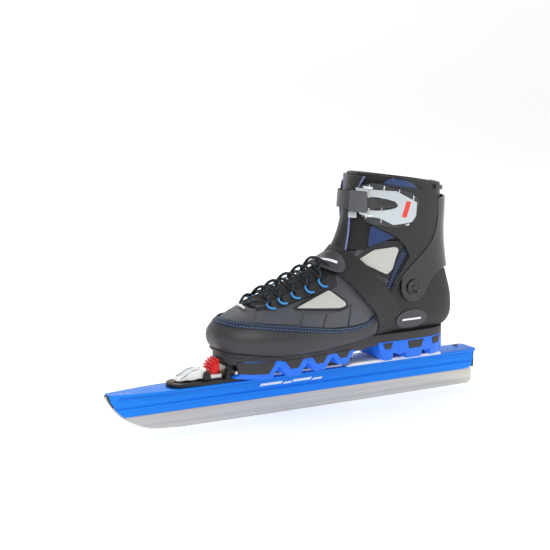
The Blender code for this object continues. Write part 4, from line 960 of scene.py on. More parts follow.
def stitches(name, line, material, body="boot", spacing=0.0034, length=0.0024, radius=0.00033):
    """A row of raised thread stitches along a line; each one dips into the sheet at its ends."""
    parts = []
    walked = 0.0
    goal = spacing
    for near, far in zip(line, line[1:]):
        span = (far - near).length
        while walked + span > goal:
            share = (goal - walked) / span
            middle = near.lerp(far, share)
            aim = (far - near).normalized()
            bm = bmesh.new()
            bmesh.ops.create_uvsphere(bm, u_segments=6, v_segments=4, radius=radius)
            bmesh.ops.scale(bm, verts=bm.verts, vec=(1, 1, length / (2 * radius)))
            turn = aim.to_track_quat("Z", "Y").to_matrix().to_4x4()
            bmesh.ops.transform(bm, matrix=Matrix.Translation(middle) @ turn, verts=bm.verts)
            parts.append(bm)
            goal += spacing
        walked += span
    return piece(name, merged(parts), material, body)


def woven(made, pitch, depth, flat=("UV", 1.0), dark="000000", light="FFFFFF"):
    """Gives a material a plain weave: two crossing sets of ridges, pitch metres apart."""
    _, tree, shader = made
    source, unit = flat
    coords = put(tree, "TexCoord").outputs[source]
    scale = 0.314 / (pitch * unit)
    ridges = []
    for direction in ("X", "Y" if source == "UV" else "Z"):
        settings = {"wave_type": "BANDS", "bands_direction": direction, "Scale": scale}
        ridges.append(put(tree, "TexWave", settings, {"Vector": coords}).outputs["Fac"])
    both = put(tree, "Math", {"operation": "MULTIPLY"}, {0: ridges[0], 1: ridges[1]})
    bump = put(tree, "Bump", {"Strength": 0.8, "Distance": depth}, {"Height": both.outputs["Value"]})
    tree.links.new(bump.outputs["Normal"], shader.inputs["Normal"])
    tint = put(tree, "ValToRGB", (), {"Fac": both.outputs["Value"]})
    tint.color_ramp.elements[0].color = colour(dark)
    tint.color_ramp.elements[1].color = colour(light)
    tint.color_ramp.elements[1].position = 0.6
    tree.links.new(tint.outputs["Color"], shader.inputs["Base Color"])
    return made[0]


def in_one_solid(name, outer_lift, inner_lift):
    """A closed wall of the boot between two lifts, as an object for the cutters below."""
    outer = form_skin(outer_lift)
    inner = form_skin(inner_lift)
    bmesh.ops.reverse_faces(inner, faces=inner.faces)
    whole = merged([outer, inner])
    bmesh.ops.bridge_loops(whole, edges=[e for e in whole.edges if e.is_boundary])
    bmesh.ops.recalc_face_normals(whole, faces=whole.faces)
    mesh = bpy.data.meshes.new(name)
    whole.to_mesh(mesh)
    whole.free()
    made = bpy.data.objects.new(name, mesh)
    scene.collection.objects.link(made)
    return made


def carved(solid, *cutters):
    """The solid after Booleans with (operation, bmesh) cutters, as a bmesh."""
    helpers = []
    for operation, bm in cutters:
        mesh = bpy.data.meshes.new("cutter")
        bm.to_mesh(mesh)
        bm.free()
        helper = bpy.data.objects.new("cutter", mesh)
        scene.collection.objects.link(helper)
        change = solid.modifiers.new(operation, "BOOLEAN")
        change.operation = operation
        change.solver = "EXACT"
        change.object = helper
        helpers.append(helper)
    bpy.context.view_layer.update()
    made = bpy.data.meshes.new_from_object(solid.evaluated_get(bpy.context.evaluated_depsgraph_get()))
    bm = bmesh.new()
    bm.from_mesh(made)
    bpy.data.meshes.remove(made)
    for thing in helpers + [solid]:
        mesh = thing.data
        bpy.data.objects.remove(thing)
        bpy.data.meshes.remove(mesh)
    return bm


PIVOT_X = 0.1230
PIVOT_Z = 0.1340


def round_pivot(angle, radius):
    """The (x, z) this far from the cuff's hinge, at this many degrees from +X towards +Z."""
    turn = math.radians(angle)
    return (PIVOT_X + radius * math.cos(turn), PIVOT_Z + radius * math.sin(turn))


LEATHER_RADIUS = 0.0580
boot_side = [(-0.2, 0.0), (0.3, 0.0), round_pivot(6, 0.35)]
boot_side += [round_pivot(6 + 7 * i, LEATHER_RADIUS) for i in range(20)]
boot_side += [round_pivot(143, 0.35), (-0.2, 0.3)]
throat = [(-0.0700, 0.0090), (-0.0640, 0.0130), (-0.0400, 0.0165), (0.0700, 0.0205)]
throat += [(0.0700, -0.0205), (-0.0400, -0.0165), (-0.0640, -0.0130), (-0.0700, -0.0090)]

# Coated leather: a fine pebbled grain in dark grey with a soft sheen.
leather = grained(stuff("coated_grey_leather", "494B52", 0.5), 0.0011, 0.00012)
bm = carved(
    in_one_solid("leather_form", 0.0, -0.0022),
    ("INTERSECT", drawn_along(boot_side, -0.1, 0.1)),
    ("DIFFERENCE", drawn_along(throat, 0.10, 0.30, "Z")),
)
round_edges(bm, 0.0006, 55)
piece("leather_upper", bm, leather, "boot", ["boot_upper"])

# ---------------------------------------------------------------- inner boot
# The padded inner boot is one warm sock of brushed fabric over foam, from the toe to the rolled
# collar. It is glued in at the foot and crosses the cuff's hinge, riding on no body.
COLLAR_LOW = (0.1780, 0.2470)
COLLAR_HIGH = (0.0600, 0.2640)
sock_region = [(-0.2, 0.0), (0.3, 0.0), (0.3, 0.2294), COLLAR_LOW, COLLAR_HIGH, (-0.2, 0.3014)]
lining = grained(stuff("black_brushed_lining", "17181B", 0.85, Sheen_Weight=0.25), 0.0016, 0.00015)
bm = carved(
    in_one_solid("sock_form", -0.0018, -0.0090), ("INTERSECT", drawn_along(sock_region, -0.1, 0.1))
)
round_edges(bm, 0.0030, 55, 4)
sock = piece("inner_boot_sock", bm, lining, None, ["inner_liner", "collar_padding"])
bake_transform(sock)

# ---------------------------------------------------------------- toe shell and seam
# A moulded rubber shell wraps the toe and both sides of the forefoot. A narrow navy tape covers
# its upper edge and is sewn down with two rows of pale blue thread.
moulded = grained(stuff("moulded_dark_rubber", "343438", 0.42), 0.0008, 0.00006, (0.34, 0.5))
shell_top = [(0.0, 0.1086), (0.0079, 0.1084), (0.0224, 0.1074), (0.0574, 0.1060), (0.0915, 0.1028)]
shell_top += [(0.1229, 0.0990), (0.1466, 0.0961), (0.1723, 0.0948), (0.1924, 0.0966), (0.2057, 0.1040)]
shell_low = [(0.0, 0.0812), (0.0300, 0.0795), (0.0574, 0.0772), (0.0915, 0.0745), (0.1250, 0.0730)]
shell_low += [(0.1723, 0.0752), (0.2057, 0.0790)]
SHELL_STEP = 0.0040
spots = [i * SHELL_STEP for i in range(-51, 52)]
outline = [(s, read_line(shell_top, abs(s))) for s in spots]
outline += [(s, read_line(shell_low, abs(s))) for s in reversed(spots)]


def shell_lift(s, z):
    """The shell swells a little below its seam and turns in again at its lower line."""
    low, high = read_line(shell_low, abs(s)), read_line(shell_top, abs(s))
    share = max(0.0, min(1.0, (z - low) / (high - low)))
    return 0.0016 + 0.0014 * math.sin(math.pi * share)


sheet_on(
    "toe_shell", outline, "plan", shell_lift, 0.0020, moulded,
    corner=0, edge=0.0007, stands_for=["toe_rand"], slot="grey_plastic",
)
welt = [(s, read_line(shell_low, abs(s)) - 0.0003) for s in spots]
welt += [(s, read_line(shell_low, abs(s)) - 0.0046) for s in reversed(spots)]
sheet_on("toe_welt", welt, "plan", 0.0034, 0.0034, moulded, corner=0, edge=0.0012, step=0.0020)

tape = grained(stuff("navy_seam_tape", "0F1E3C", 0.6), 0.0006, 0.00005)
thread = woven(stuff("pale_blue_thread", "6F8DB4", 0.6), 0.0004, 0.00005, ("Object", 1), "4E6A92", "86A4CA")
seam_top = [(s, read_line(shell_top, abs(s)) + 0.0030) for s in spots]
seam_low = [(s, read_line(shell_top, abs(s)) - 0.0022) for s in reversed(spots)]
sheet_on("seam_tape", seam_top + seam_low, "plan", 0.0026, 0.0010, tape, corner=0, step=0.0026)
for row, rise in (("upper", 0.0018), ("lower", -0.0010)):
    line = [(s, read_line(shell_top, abs(s)) + rise) for s in spots[1:-1]]
    stitches(f"seam_stitches_{row}", chart_line("plan", line, 0.0027, 2), thread, spacing=0.0036)

# ---------------------------------------------------------------- side panels
# Both sides carry the same panels: embossed leather overlays with narrow gaps between them, two
# windows of fine white mesh in dark raised frames, a ribbed quarter and the heel counter.
overlay = grained(stuff("embossed_grey_leather", "4B4D55", 0.46), 0.0010, 0.00010, (0.38, 0.52))
matte = grained(stuff("matte_black_synthetic", "1C1C1E", 0.55), 0.0007, 0.00006, (0.45, 0.62))
mesh_cloth = woven(
    stuff("fine_white_mesh", "DEDED8", 0.75), 0.0011, 0.00025, ("Object", 1), "A9A9A4", "F2F2EC",
)
navy = woven(
    stuff("navy_knit", "16356B", 0.6, Sheen_Weight=0.2), 0.0009, 0.00012, ("Object", 1), "0C2450",
    "1D4384",
)
ribbed, tree, shader = stuff("ribbed_dark_rubber", "2C2C31", 0.45)
coords = put(tree, "TexCoord").outputs["Object"]
slanted = put(tree, "Mapping", {"Rotation": (0, 0.9, 0)}, {"Vector": coords})
RIB_PITCH = 0.0036
settings = {"wave_type": "BANDS", "bands_direction": "X", "Scale": 0.314 / RIB_PITCH}
ribs = put(tree, "TexWave", settings, {"Vector": slanted.outputs["Vector"]})
bump = put(tree, "Bump", {"Strength": 0.9, "Distance": 0.0006}, {"Height": ribs.outputs["Fac"]})
tree.links.new(bump.outputs["Normal"], shader.inputs["Normal"])

OVERLAYS = {
    "vamp": [
        (-0.0640, 0.1205), (-0.0450, 0.1240), (-0.0300, 0.1222), (-0.0205, 0.1175),
        (-0.0285, 0.1068), (-0.0500, 0.1085), (-0.0740, 0.1105),
    ],
    "midfoot": [(-0.0185, 0.1170), (0.0060, 0.1140), (-0.0018, 0.1018), (-0.0262, 0.1052)],
    "waist": [
        (0.0080, 0.1142), (0.0245, 0.1158), (0.0345, 0.1180), (0.0385, 0.1205), (0.0322, 0.0990),
        (0.0002, 0.1012),
    ],
    "quarter": [
        (0.0405, 0.1225), (0.0500, 0.1170), (0.0570, 0.1110), (0.0680, 0.1010), (0.0560, 0.0985),
        (0.0345, 0.0985),
    ],
}
FOREFOOT_WINDOW = [(-0.0242, 0.1221), (0.0183, 0.1372), (0.0339, 0.1236), (0.0326, 0.1206), (0.0251, 0.1192)]
FOREFOOT_FRAME = [
    (-0.0300, 0.1212), (-0.0100, 0.1300), (0.0180, 0.1402), (0.0372, 0.1245), (0.0356, 0.1185),
    (0.0255, 0.1166),
]
ANKLE_WINDOW = [
    (0.0595, 0.1673), (0.0772, 0.1778), (0.1003, 0.1809), (0.1041, 0.1780), (0.0971, 0.1558),
    (0.0900, 0.1499), (0.0659, 0.1619),
]
ANKLE_FRAME = [
    (0.0545, 0.1668), (0.0700, 0.1800), (0.0860, 0.1880), (0.1040, 0.1875), (0.1110, 0.1810),
    (0.1040, 0.1600), (0.0935, 0.1440), (0.0640, 0.1585),
]
RIB_AREA = [
    (0.0560, 0.1560), (0.0760, 0.1490), (0.0885, 0.1440), (0.0850, 0.1350), (0.0770, 0.1320),
    (0.0620, 0.1400),
]
STRIP = [(0.0880, 0.1300), (0.0905, 0.1290), (0.1150, 0.1740), (0.1120, 0.1795), (0.1060, 0.1760)]
CAD_SIDES = {"outer": "lateral", "inner": "medial"}
for side in ("outer", "inner"):
    for name, outline in OVERLAYS.items():
        sheet_on(f"{name}_overlay_{side}", outline, side, 0.0012, 0.0012, overlay, corner=0.002)
    cad = CAD_SIDES[side]
    sheet_on(f"forefoot_frame_{side}", FOREFOOT_FRAME, side, 0.0013, 0.0013, matte)
    sheet_on(
        f"forefoot_window_{side}", FOREFOOT_WINDOW, side, 0.0019, 0.0010, mesh_cloth,
        stands_for=[f"forefoot_panel_{cad}"], slot="white_mesh",
    )
    sheet_on(f"ankle_frame_{side}", ANKLE_FRAME, side, 0.0013, 0.0013, matte)
    sheet_on(
        f"ankle_window_{side}", ANKLE_WINDOW, side, 0.0019, 0.0010, mesh_cloth,
        stands_for=[f"ankle_panel_{cad}"], slot="white_mesh",
    )
    sheet_on(f"ribbed_quarter_{side}", RIB_AREA, side, 0.0016, 0.0016, ribbed)
    sheet_on(f"stitched_strip_{side}", STRIP, side, 0.0022, 0.0014, tape, corner=0.001, step=0.002)
    for row, shift in (("front", -0.0018), ("rear", 0.0012)):
        line = [(0.0893 + shift * 0.5, 0.1330), (0.1010 + shift, 0.1540), (0.1110 + shift, 0.1745)]
        stitches(f"strip_stitches_{row}_{side}", chart_line(side, line, 0.0024), thread, spacing=0.0034)
    sign = -1 if side == "outer" else 1
    counter = [(0.2110, 0.0745), (0.2110, 0.1230), (0.2230, 0.1330), (0.2380, 0.1450)]
    counter += [(0.2600, 0.1500), (0.3000, 0.1490), (0.3534, 0.1480), (0.3534, 0.0745)]
    counter = [(sign * s, z) for s, z in counter]
    sheet_on(f"heel_counter_{side}", counter, "plan", 0.0012, 0.0014, matte, corner=0.0006, edge=0.0005)
badge_plastic = grained(stuff("dark_badge_plastic", "3C3C41", 0.35), 0.0006, 0.00004, (0.3, 0.4))
HALF_OVAL_STEPS = 16


def turned(along, across, middle, turn):
    """A point this far along and across a badge that is turned about its middle."""
    x = middle[0] + along * math.cos(turn) - across * math.sin(turn)
    return (x, middle[1] + along * math.sin(turn) + across * math.cos(turn))


def oval_outline(half_length, half_width, middle, turn=0):
    """The corners of a badge's oval plate."""
    points = []
    for i in range(2 * HALF_OVAL_STEPS):
        along = half_length * math.cos(i * math.pi / HALF_OVAL_STEPS)
        across = half_width * math.sin(i * math.pi / HALF_OVAL_STEPS)
        points.append(turned(along, across, middle, turn))
    return points


oval = oval_outline(0.0215, 0.0108, (0.1243, 0.0968))
sheet_on(
    "heel_badge_plate", oval, "outer", 0.0022, 0.0012, badge_plastic, corner=0, edge=0.0005,
    stands_for=["heel_badge"], slot="grey_plastic",
)
bar = [(0.1110, 0.0958), (0.1370, 0.0958), (0.1376, 0.0978), (0.1116, 0.0978)]
sheet_on("heel_badge_bar", bar, "outer", 0.0024, 0.0004, print_ink, corner=0.0004, edge=0)

# ---------------------------------------------------------------- tongue
# A padded tongue of black mesh with a plain front, edged with lavender piping. Below the cuff it
# lies under the laces; above, it stands in front of the shin.
net = woven(stuff("black_open_mesh", "141416", 0.7), 0.0022, 0.0006, ("UV", 1000), "050506", "2A2A2E")
tongue_cloth = grained(stuff("black_tongue_cloth", "121214", 0.8, Sheen_Weight=0.2), 0.0010, 0.00008)
lavender = woven(stuff("lavender_piping", "8287B8", 0.5), 0.0007, 0.0001, ("UV", 1000), "5F64A0", "9CA0CC")


def bends(thing):
    """Bakes the placing of a soft ankle piece that crosses the cuff's hinge, as the inner boot does."""
    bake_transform(thing)
    return thing


low_tongue = [(-0.0660, -0.0095), (-0.0600, -0.0150), (-0.0300, -0.0195), (0.0500, -0.0215)]
low_tongue += [(x, -y) for x, y in reversed(low_tongue)]
made = sheet_on(
    "tongue_under_laces", low_tongue, "crown", 0.0012, 0.0040, net, corner=0.003, edge=0.0012,
    stands_for=["tongue"], slot="black_fabric",
)
side_net = [(-0.0420, 0.1780), (0.0420, 0.1780), (0.0400, 0.2600), (-0.0400, 0.2600)]
bends(sheet_on("tongue_net", side_net, "ring", 0.0006, 0.0020, net, None, edge=0.0008))
piping = [
    (0.0092, 0.1760), (0.0079, 0.1927), (0.0066, 0.2133), (0.0083, 0.2256), (0.0121, 0.2436),
    (0.0187, 0.2590),
]
front = piping + [(-a, z) for a, z in reversed(piping)]


def tongue_swell(a, z):
    """The tongue is fullest along its middle."""
    return 0.0026 + 0.0016 * math.cos(min(1, abs(a) / 0.015) * math.pi / 2)


made = sheet_on(
    "tongue_front", front, "ring", tongue_swell, 0.0040, tongue_cloth, None, corner=0, edge=0.0014,
    stands_for=["tongue_top"], slot="black_fabric",
)
bends(made)
for side in (-1, 1):
    line = chart_line("ring", [(side * a, z) for a, z in piping], 0.0030)
    bends(piece(f"tongue_piping_{SIDE_NAMES[side]}", tube(line, 0.0012), lavender, None))

# ---------------------------------------------------------------- laces
# A round black cord flecked with light blue runs through five pairs of light blue loops and round
# a white bar at the toe end.
eyestay = grained(stuff("black_eyestay_leather", "242428", 0.5), 0.0009, 0.00008)
loop_cord = woven(
    stuff("light_blue_loop_cord", "2FA0EE", 0.5), 0.0006, 0.0001, ("UV", 1000), "1C82D6", "58B8F6",
)
lace_cord, tree, shader = stuff("black_lace_with_flecks", "0E0E10", 0.7)
coords = put(tree, "TexCoord").outputs["UV"]
FLECK = 0.0024
flecks = put(tree, "TexVoronoi", {"Scale": 0.001 / FLECK}, {"Vector": coords})
picked = put(tree, "ValToRGB", (), {"Fac": flecks.outputs["Distance"]})
picked.color_ramp.elements[0].position = 0.13
picked.color_ramp.elements[0].color = colour("3C9AD8")
picked.color_ramp.elements[1].position = 0.2
picked.color_ramp.elements[1].color = colour("0E0E10")
tree.links.new(picked.outputs["Color"], shader.inputs["Base Color"])
strands = put(tree, "TexWave", {"Scale": 0.314 / 0.8, "bands_direction": "DIAGONAL"}, {"Vector": coords})
bump = put(tree, "Bump", {"Strength": 0.8, "Distance": 0.00015}, {"Height": strands.outputs["Fac"]})
tree.links.new(bump.outputs["Normal"], shader.inputs["Normal"])

LOOP_X = (-0.0500, -0.0360, -0.0200, -0.0030, 0.0140)
for side in (-1, 1):
    word = SIDE_NAMES[side]
    strip = [
        (-0.0640, 0.0110), (-0.0560, 0.0160), (0.0300, 0.0185), (0.0300, 0.0285), (-0.0480, 0.0260),
        (-0.0640, 0.0180),
    ]
    sheet_on(
        f"eyestay_{word}", [(x, side * y) for x, y in strip], "crown", 0.0020, 0.0016, eyestay,
        corner=0.003,
    )
    loops = []
    for x in LOOP_X:
        turn = [
            (x + 0.0040, 0.0262), (x - 0.0008, 0.0256), (x - 0.0034, 0.0222), (x - 0.0020, 0.0184),
            (x + 0.0030, 0.0172),
        ]
        flat = smooth_line([(a, side * b, 0) for a, b in turn], 5)
        points = [
            on_form("crown", p.x, p.y, 0.0026 + 0.0022 * math.sin(math.pi * i / (len(flat) - 1)))
            for i, p in enumerate(flat)
        ]
        loops.append(tube(points, 0.0011, 8))
    cad = CAD_SIDES[word]
    piece(f"lace_loops_cord_{word}", merged(loops), loop_cord, "boot", [f"lace_loops_{cad}"])


LACE_STEPS = 12


def lace_strand(start, end, bow):
    """One run of cord over the tongue; it arches highest in its middle."""
    points = []
    for i in range(LACE_STEPS + 1):
        share = i / LACE_STEPS
        x = start[0] + (end[0] - start[0]) * share
        y = start[1] + (end[1] - start[1]) * share
        points.append(on_form("crown", x, y, 0.0036 + bow * math.sin(math.pi * share)))
    return tube(points, 0.0016, 10)


runs = []
rows = [(x, 0.0190) for x in LOOP_X] + [(0.0300, 0.0170)]
for number, ((x0, y0), (x1, y1)) in enumerate(zip(rows, rows[1:])):
    for side in (-1, 1):
        runs.append(lace_strand((x0, side * y0), (x1, -side * y1), 0.0040 if side < 0 else 0.0068))
    runs.append(lace_strand((x0 + 0.0015, -y0), (x0 + 0.0030, y0), 0.0022))
for side in (-1, 1):
    runs.append(lace_strand((-0.0725, side * 0.0035), (LOOP_X[0], side * 0.0190), 0.0030))
piece("lace_cord", merged(runs), lace_cord, "boot", ["lace"])
white_gloss = grained(stuff("white_gloss_plastic", "EDEFEE", 0.22), 0.0030, 0.00003, (0.18, 0.28))
bar = [on_form("crown", -0.0735, y / 1000, 0.0022) for y in range(-6, 7, 2)]
piece("lace_bar", tube(bar, 0.0017, 12), white_gloss, "boot", ["lace_keeper"])

# ---------------------------------------------------------------- instep strap
# Ribbed black webbing pulled over the instep from side to side, with an oval badge.
webbing, tree, shader = stuff("ribbed_black_webbing", "19191B", 0.62, Sheen_Weight=0.15)
coords = put(tree, "TexCoord").outputs["UV"]
RIB_MM = 1.6
PICK_MM = 0.9
settings = {"wave_type": "BANDS", "bands_direction": "Y", "Scale": 0.314 / RIB_MM}
long_ribs = put(tree, "TexWave", settings, {"Vector": coords})
picks = put(tree, "TexWave", {"bands_direction": "X", "Scale": 0.314 / PICK_MM}, {"Vector": coords})
height = put(tree, "Math", {"operation": "ADD"}, {0: long_ribs.outputs["Fac"], 1: picks.outputs["Fac"]})
bump = put(tree, "Bump", {"Strength": 0.9, "Distance": 0.0003}, {"Height": height.outputs["Value"]})
tree.links.new(bump.outputs["Normal"], shader.inputs["Normal"])
tint = put(tree, "ValToRGB", (), {"Fac": long_ribs.outputs["Fac"]})
tint.color_ramp.elements[0].color = colour("0C0C0D")
tint.color_ramp.elements[1].color = colour("2A2A2C")
tree.links.new(tint.outputs["Color"], shader.inputs["Base Color"])
down = [
    (0.0915, 0.0410, 0.1000), (0.0830, 0.0424, 0.1190), (0.0690, 0.0411, 0.1345),
    (0.0555, 0.0350, 0.1510),
]
down += [(0.0455, 0.0270, 0.1620), (0.0355, 0.0138, 0.1700)]
path = [(x, -y, z) for x, y, z in down] + [(0.0310, 0, 0.1720)] + down[::-1]
band_on(
    "instep_webbing", path, 0.0300, 0.0052, 0.0018, webbing, across=14, edge=0.0006,
    stands_for=["instep_strap"], slot="black_fabric",
)
BADGE_TURN = math.radians(-49)
BADGE_MIDDLE = (0.0305, -0.0068)
oval = oval_outline(0.0200, 0.0092, BADGE_MIDDLE, BADGE_TURN)
sheet_on(
    "strap_badge_plate", oval, "crown", 0.0070, 0.0018, badge_plastic, corner=0, edge=0.0008,
    stands_for=["strap_badge"], slot="grey_plastic",
)
corners = [(-0.0110, -0.0010), (0.0110, -0.0010), (0.0116, 0.0012), (-0.0104, 0.0012)]
bar = [turned(along, across, BADGE_MIDDLE, BADGE_TURN) for along, across in corners]
sheet_on("strap_badge_bar", bar, "crown", 0.0072, 0.0004, print_ink, corner=0.0004, edge=0)

# ---------------------------------------------------------------- cuff
# A stiff glossy stay round the back of the ankle, riveted to the heel on both sides, under two
# matt wings that close over the shin. A bright rim runs along each wing's rear edge.
gloss = grained(stuff("glossy_black_stay", "0C0C0E", 0.14, Coat_Weight=0.4), 0.0030, 0.00003, (0.1, 0.2))
wing_skin = grained(stuff("matt_black_wing", "1B1B1D", 0.5, Sheen_Weight=0.1), 0.0006, 0.00005, (0.42, 0.56))


def round_shaft(side, outline):
    """Ring chart points for points seen from one side."""
    sign = -1 if side == "outer" else 1
    found = []
    for x, z in outline:
        spot = on_form(side, x, z, 0)
        found.append((sign * CHART_RADIUS * math.atan2(abs(spot.y), AXIS_X - spot.x), z))
    return found


stay = [
    (0.1480, 0.2320), (0.1400, 0.2100), (0.1330, 0.1900), (0.1220, 0.1730), (0.1100, 0.1560),
    (0.1068, 0.1400),
]
stay += [
    (0.1068, 0.1310), (0.1100, 0.1235), (0.1165, 0.1185), (0.1240, 0.1170), (0.1320, 0.1190),
    (0.1385, 0.1250),
]
stay += [(0.1425, 0.1350), (0.1500, 0.1460), (0.1600, 0.1520)]
near = round_shaft("outer", stay)
WHOLE_TURN = 2 * math.pi * CHART_RADIUS
far = [(-WHOLE_TURN - a, z) for a, z in reversed(near)]
sheet_on(
    "cuff_rear_stay", near + [(-WHOLE_TURN / 2, 0.1560)] + far + [(-WHOLE_TURN / 2, 0.2340)],
    "ring", 0.0042, 0.0020, gloss, "cuff", corner=0.002, edge=0.0006, stands_for=["cuff_shell"],
    slot="black_cuff",
)

WING = [
    (0.0687, 0.2106), (0.0839, 0.2018), (0.0991, 0.1936), (0.1095, 0.1828), (0.1155, 0.1700),
    (0.1085, 0.1580),
]
WING += [
    (0.0980, 0.1430), (0.0890, 0.1295), (0.0937, 0.1310), (0.1040, 0.1440), (0.1163, 0.1574),
    (0.1334, 0.1744),
]
WING += [
    (0.1452, 0.1905), (0.1506, 0.2137), (0.1494, 0.2330), (0.1309, 0.2434), (0.1160, 0.2462),
    (0.1000, 0.2485),
]
WING += [(0.0820, 0.2520), (0.0705, 0.2490), (0.0685, 0.2300)]
RIM = [
    (0.0925, 0.1305), (0.1040, 0.1442), (0.1163, 0.1576), (0.1334, 0.1746), (0.1450, 0.1907),
    (0.1502, 0.2137), (0.1488, 0.2325),
]
for side in ("outer", "inner"):
    cad = CAD_SIDES[side]
    sheet_on(
        f"cuff_wing_skin_{side}", round_shaft(side, WING), "ring", 0.0056, 0.0013, wing_skin,
        "cuff", corner=0.0012, edge=0.0005, stands_for=[f"cuff_wing_{cad}"], slot="black_cuff",
    )
    points = chart_line("ring", round_shaft(side, RIM), 0.0056)
    piece(f"wing_rim_{side}", tube(points, 0.0009, 8), gloss, "cuff")
    bm = bmesh.new()
    bmesh.ops.create_cone(bm, cap_ends=True, segments=48, radius1=0.0095, radius2=0.0090, depth=0.0024)
    top = max(bm.faces, key=lambda f: f.calc_center_median().z)
    bmesh.ops.inset_individual(bm, faces=[top], thickness=0.0022, depth=0.0)
    bmesh.ops.inset_individual(bm, faces=[top], thickness=0.0006, depth=-0.0008)
    round_edges(bm, 0.0003, 25)
    hexagon = bmesh.new()
    bmesh.ops.create_cone(hexagon, cap_ends=True, segments=6, radius1=0.0034, radius2=0.0030, depth=0.0016)
    round_edges(hexagon, 0.0002, 25)
    bmesh.ops.translate(hexagon, verts=hexagon.verts, vec=(0, 0, 0.0004))
    bm = merged([bm, hexagon])
    seat = on_form(side, PIVOT_X, PIVOT_Z, 0.0050)
    facing = Vector((0, -1 if side == "outer" else 1, 0)).to_track_quat("Z", "X").to_matrix().to_4x4()
    bmesh.ops.transform(bm, matrix=Matrix.Translation(seat) @ facing, verts=bm.verts)
    piece(f"rivet_cap_{side}", bm, gloss, "boot", [f"cuff_rivet_{cad}"])

# ---------------------------------------------------------------- collar trim
# Navy pads show above and below the wings, with a pull tab and a small dark label at the back.
glossy_navy = grained(
    stuff("glossy_navy_pad", "16356A", 0.28, Coat_Weight=0.3), 0.0020, 0.00005, (0.2, 0.34),
)
pad = [
    (0.0800, 0.2440), (0.0849, 0.2544), (0.0919, 0.2577), (0.1075, 0.2551), (0.1170, 0.2500),
    (0.1263, 0.2419), (0.1000, 0.2440),
]
triangle = [(0.0745, 0.2060), (0.0980, 0.1925), (0.0710, 0.1810)]
for side in ("outer", "inner"):
    ringed = round_shaft(side, pad)
    centre = sum(a for a, _ in ringed) / len(ringed)
    made = sheet_on(
        f"collar_pad_{side}", ringed, "ring", lambda a,
        z: 0.0022 + 0.0020 * max(0, 1 - ((a - centre) / 0.022) ** 2), 0.0030, glossy_navy, "cuff",
        edge=0.0010,
    )
    bends(sheet_on(f"navy_gusset_{side}", triangle, side, 0.0030, 0.0016, navy, None, corner=0.002))
back_middle = WHOLE_TURN / 2
tab = [
    (-back_middle - 0.0080, 0.2290), (-back_middle + 0.0080, 0.2290),
    (-back_middle + 0.0070, 0.2480), (-back_middle - 0.0070, 0.2480),
]
sheet_on(
    "rear_pull_tab", tab, "ring", lambda a,
    z: 0.0010 + 0.0045 * math.sin(math.pi * (z - 0.2280) / 0.0210), 0.0016, navy, "cuff",
    corner=0.002,
)
label = [(-0.1330, 0.2400), (-0.1130, 0.2425), (-0.1130, 0.2480), (-0.1330, 0.2450)]
sheet_on("collar_label", label, "ring", 0.0012, 0.0010, badge_plastic, "cuff", corner=0.0008)

# ---------------------------------------------------------------- buckle
# A silver fork lever clamps the toothed end of a stiff strap that wraps the front of the cuff.
silver = grained(
    stuff("silver_painted_plastic", "C3CBD0", 0.3, Metallic=0.35), 0.0012, 0.00005, (0.25, 0.36),
)
grey_base = grained(stuff("dark_grey_buckle_base", "3A3B3F", 0.42), 0.0008, 0.00005, (0.36, 0.48))
strap_plastic = grained(stuff("dark_grey_strap_plastic", "38383B", 0.4), 0.0008, 0.00005, (0.34, 0.46))
keeper_plastic = grained(stuff("grey_keeper_plastic", "58595D", 0.36), 0.0008, 0.00005, (0.3, 0.42))
base = [(0.0680, 0.2480), (0.0763, 0.2526), (0.0998, 0.2455), (0.1133, 0.2415), (0.1225, 0.2325)]
base += [(0.1180, 0.2100), (0.0980, 0.2040), (0.0740, 0.2080), (0.0680, 0.2160)]
sheet_on(
    "buckle_base_plate", round_shaft("outer", base), "ring", 0.0068, 0.0012, grey_base, "cuff",
    corner=0.002,
)
LEVER = [
    (0.0672, 0.2462), (0.0776, 0.2450), (0.0953, 0.2443), (0.1024, 0.2396), (0.1163, 0.2312),
    (0.1157, 0.2165),
]
LEVER += [
    (0.1109, 0.2102), (0.0935, 0.2078), (0.0820, 0.2150), (0.0668, 0.2182), (0.0664, 0.2232),
    (0.0790, 0.2232),
]
LEVER += [
    (0.0885, 0.2243), (0.0950, 0.2262), (0.0968, 0.2290), (0.0940, 0.2330), (0.0880, 0.2352),
    (0.0801, 0.2372), (0.0670, 0.2382),
]
ringed = round_shaft("outer", LEVER)


def lever_lift(a, z):
    """The lever's body is raised; its tip and its prongs lie lower."""
    return 0.0100 + 0.0016 * max(0, 1 - ((a + 0.0680) / 0.020) ** 2)


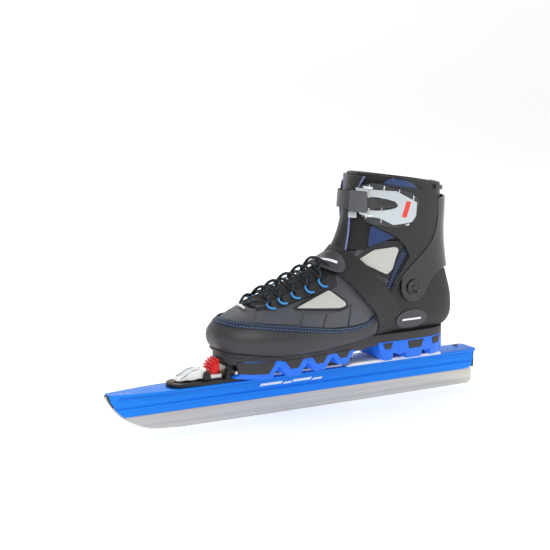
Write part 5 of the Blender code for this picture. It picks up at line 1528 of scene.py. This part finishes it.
sheet_on(
    "buckle_lever_fork", ringed, "ring", lever_lift, 0.0026, silver, "buckle_lever", corner=0.0008,
    edge=0.0009, step=0.002, stands_for=["buckle_lever"], slot="silver_plastic",
)
red_print = grained(stuff("red_print", "E2402F", 0.4), 0.0008, 0.00002)
red_bar = [(0.1046, 0.2335), (0.1092, 0.2325), (0.1050, 0.2155), (0.1006, 0.2165)]
ringed = round_shaft("outer", red_bar)
sheet_on(
    "buckle_red_bar", ringed, "ring", lambda a, z: lever_lift(a, z) + 0.0002, 0.0004, red_print,
    "buckle_lever", corner=0.0006, edge=0,
)
strap = [
    (-0.0300, 0.2205), (-0.0300, 0.2265), (-0.0560, 0.2268), (-0.0580, 0.2310), (-0.0560, 0.2352),
    (-0.0300, 0.2352),
]
strap += [(-0.0300, 0.2420), (0.0000, 0.2412), (0.0420, 0.2400), (0.0420, 0.2240), (0.0000, 0.2212)]
sheet_on(
    "ratchet_strap_band", strap, "ring", 0.0088, 0.0017, strap_plastic, "ratchet_strap",
    corner=0.0012, stands_for=["ratchet_strap"], slot="black_plastic",
)
teeth = []
TEETH = 11
TOOTH_START = -0.0330
TOOTH_PITCH = 0.0021
for i in range(TEETH):
    a = TOOTH_START - TOOTH_PITCH * i
    line = chart_line("ring", [(a, 0.2285), (a, 0.2335)], 0.0089, 4)
    teeth.append(tube(line, 0.0006, 6))
piece("ratchet_teeth", merged(teeth), strap_plastic, "ratchet_strap")
keeper = [(-0.0240, 0.2200), (-0.0085, 0.2195), (-0.0085, 0.2428), (-0.0240, 0.2430)]
sheet_on(
    "strap_keeper", keeper, "ring", 0.0102, 0.0013, keeper_plastic, "ratchet_strap", corner=0.0015,
    edge=0.0005,
)
clip = [(-0.0135, 0.2130), (-0.0060, 0.2125), (-0.0060, 0.2192), (-0.0135, 0.2195)]
sheet_on("tongue_clip", clip, "ring", 0.0052, 0.0010, silver, "cuff", corner=0.001)

# ---------------------------------------------------------------- sizes
# The box of everything shown, backdrop aside, as two corners.
low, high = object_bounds()
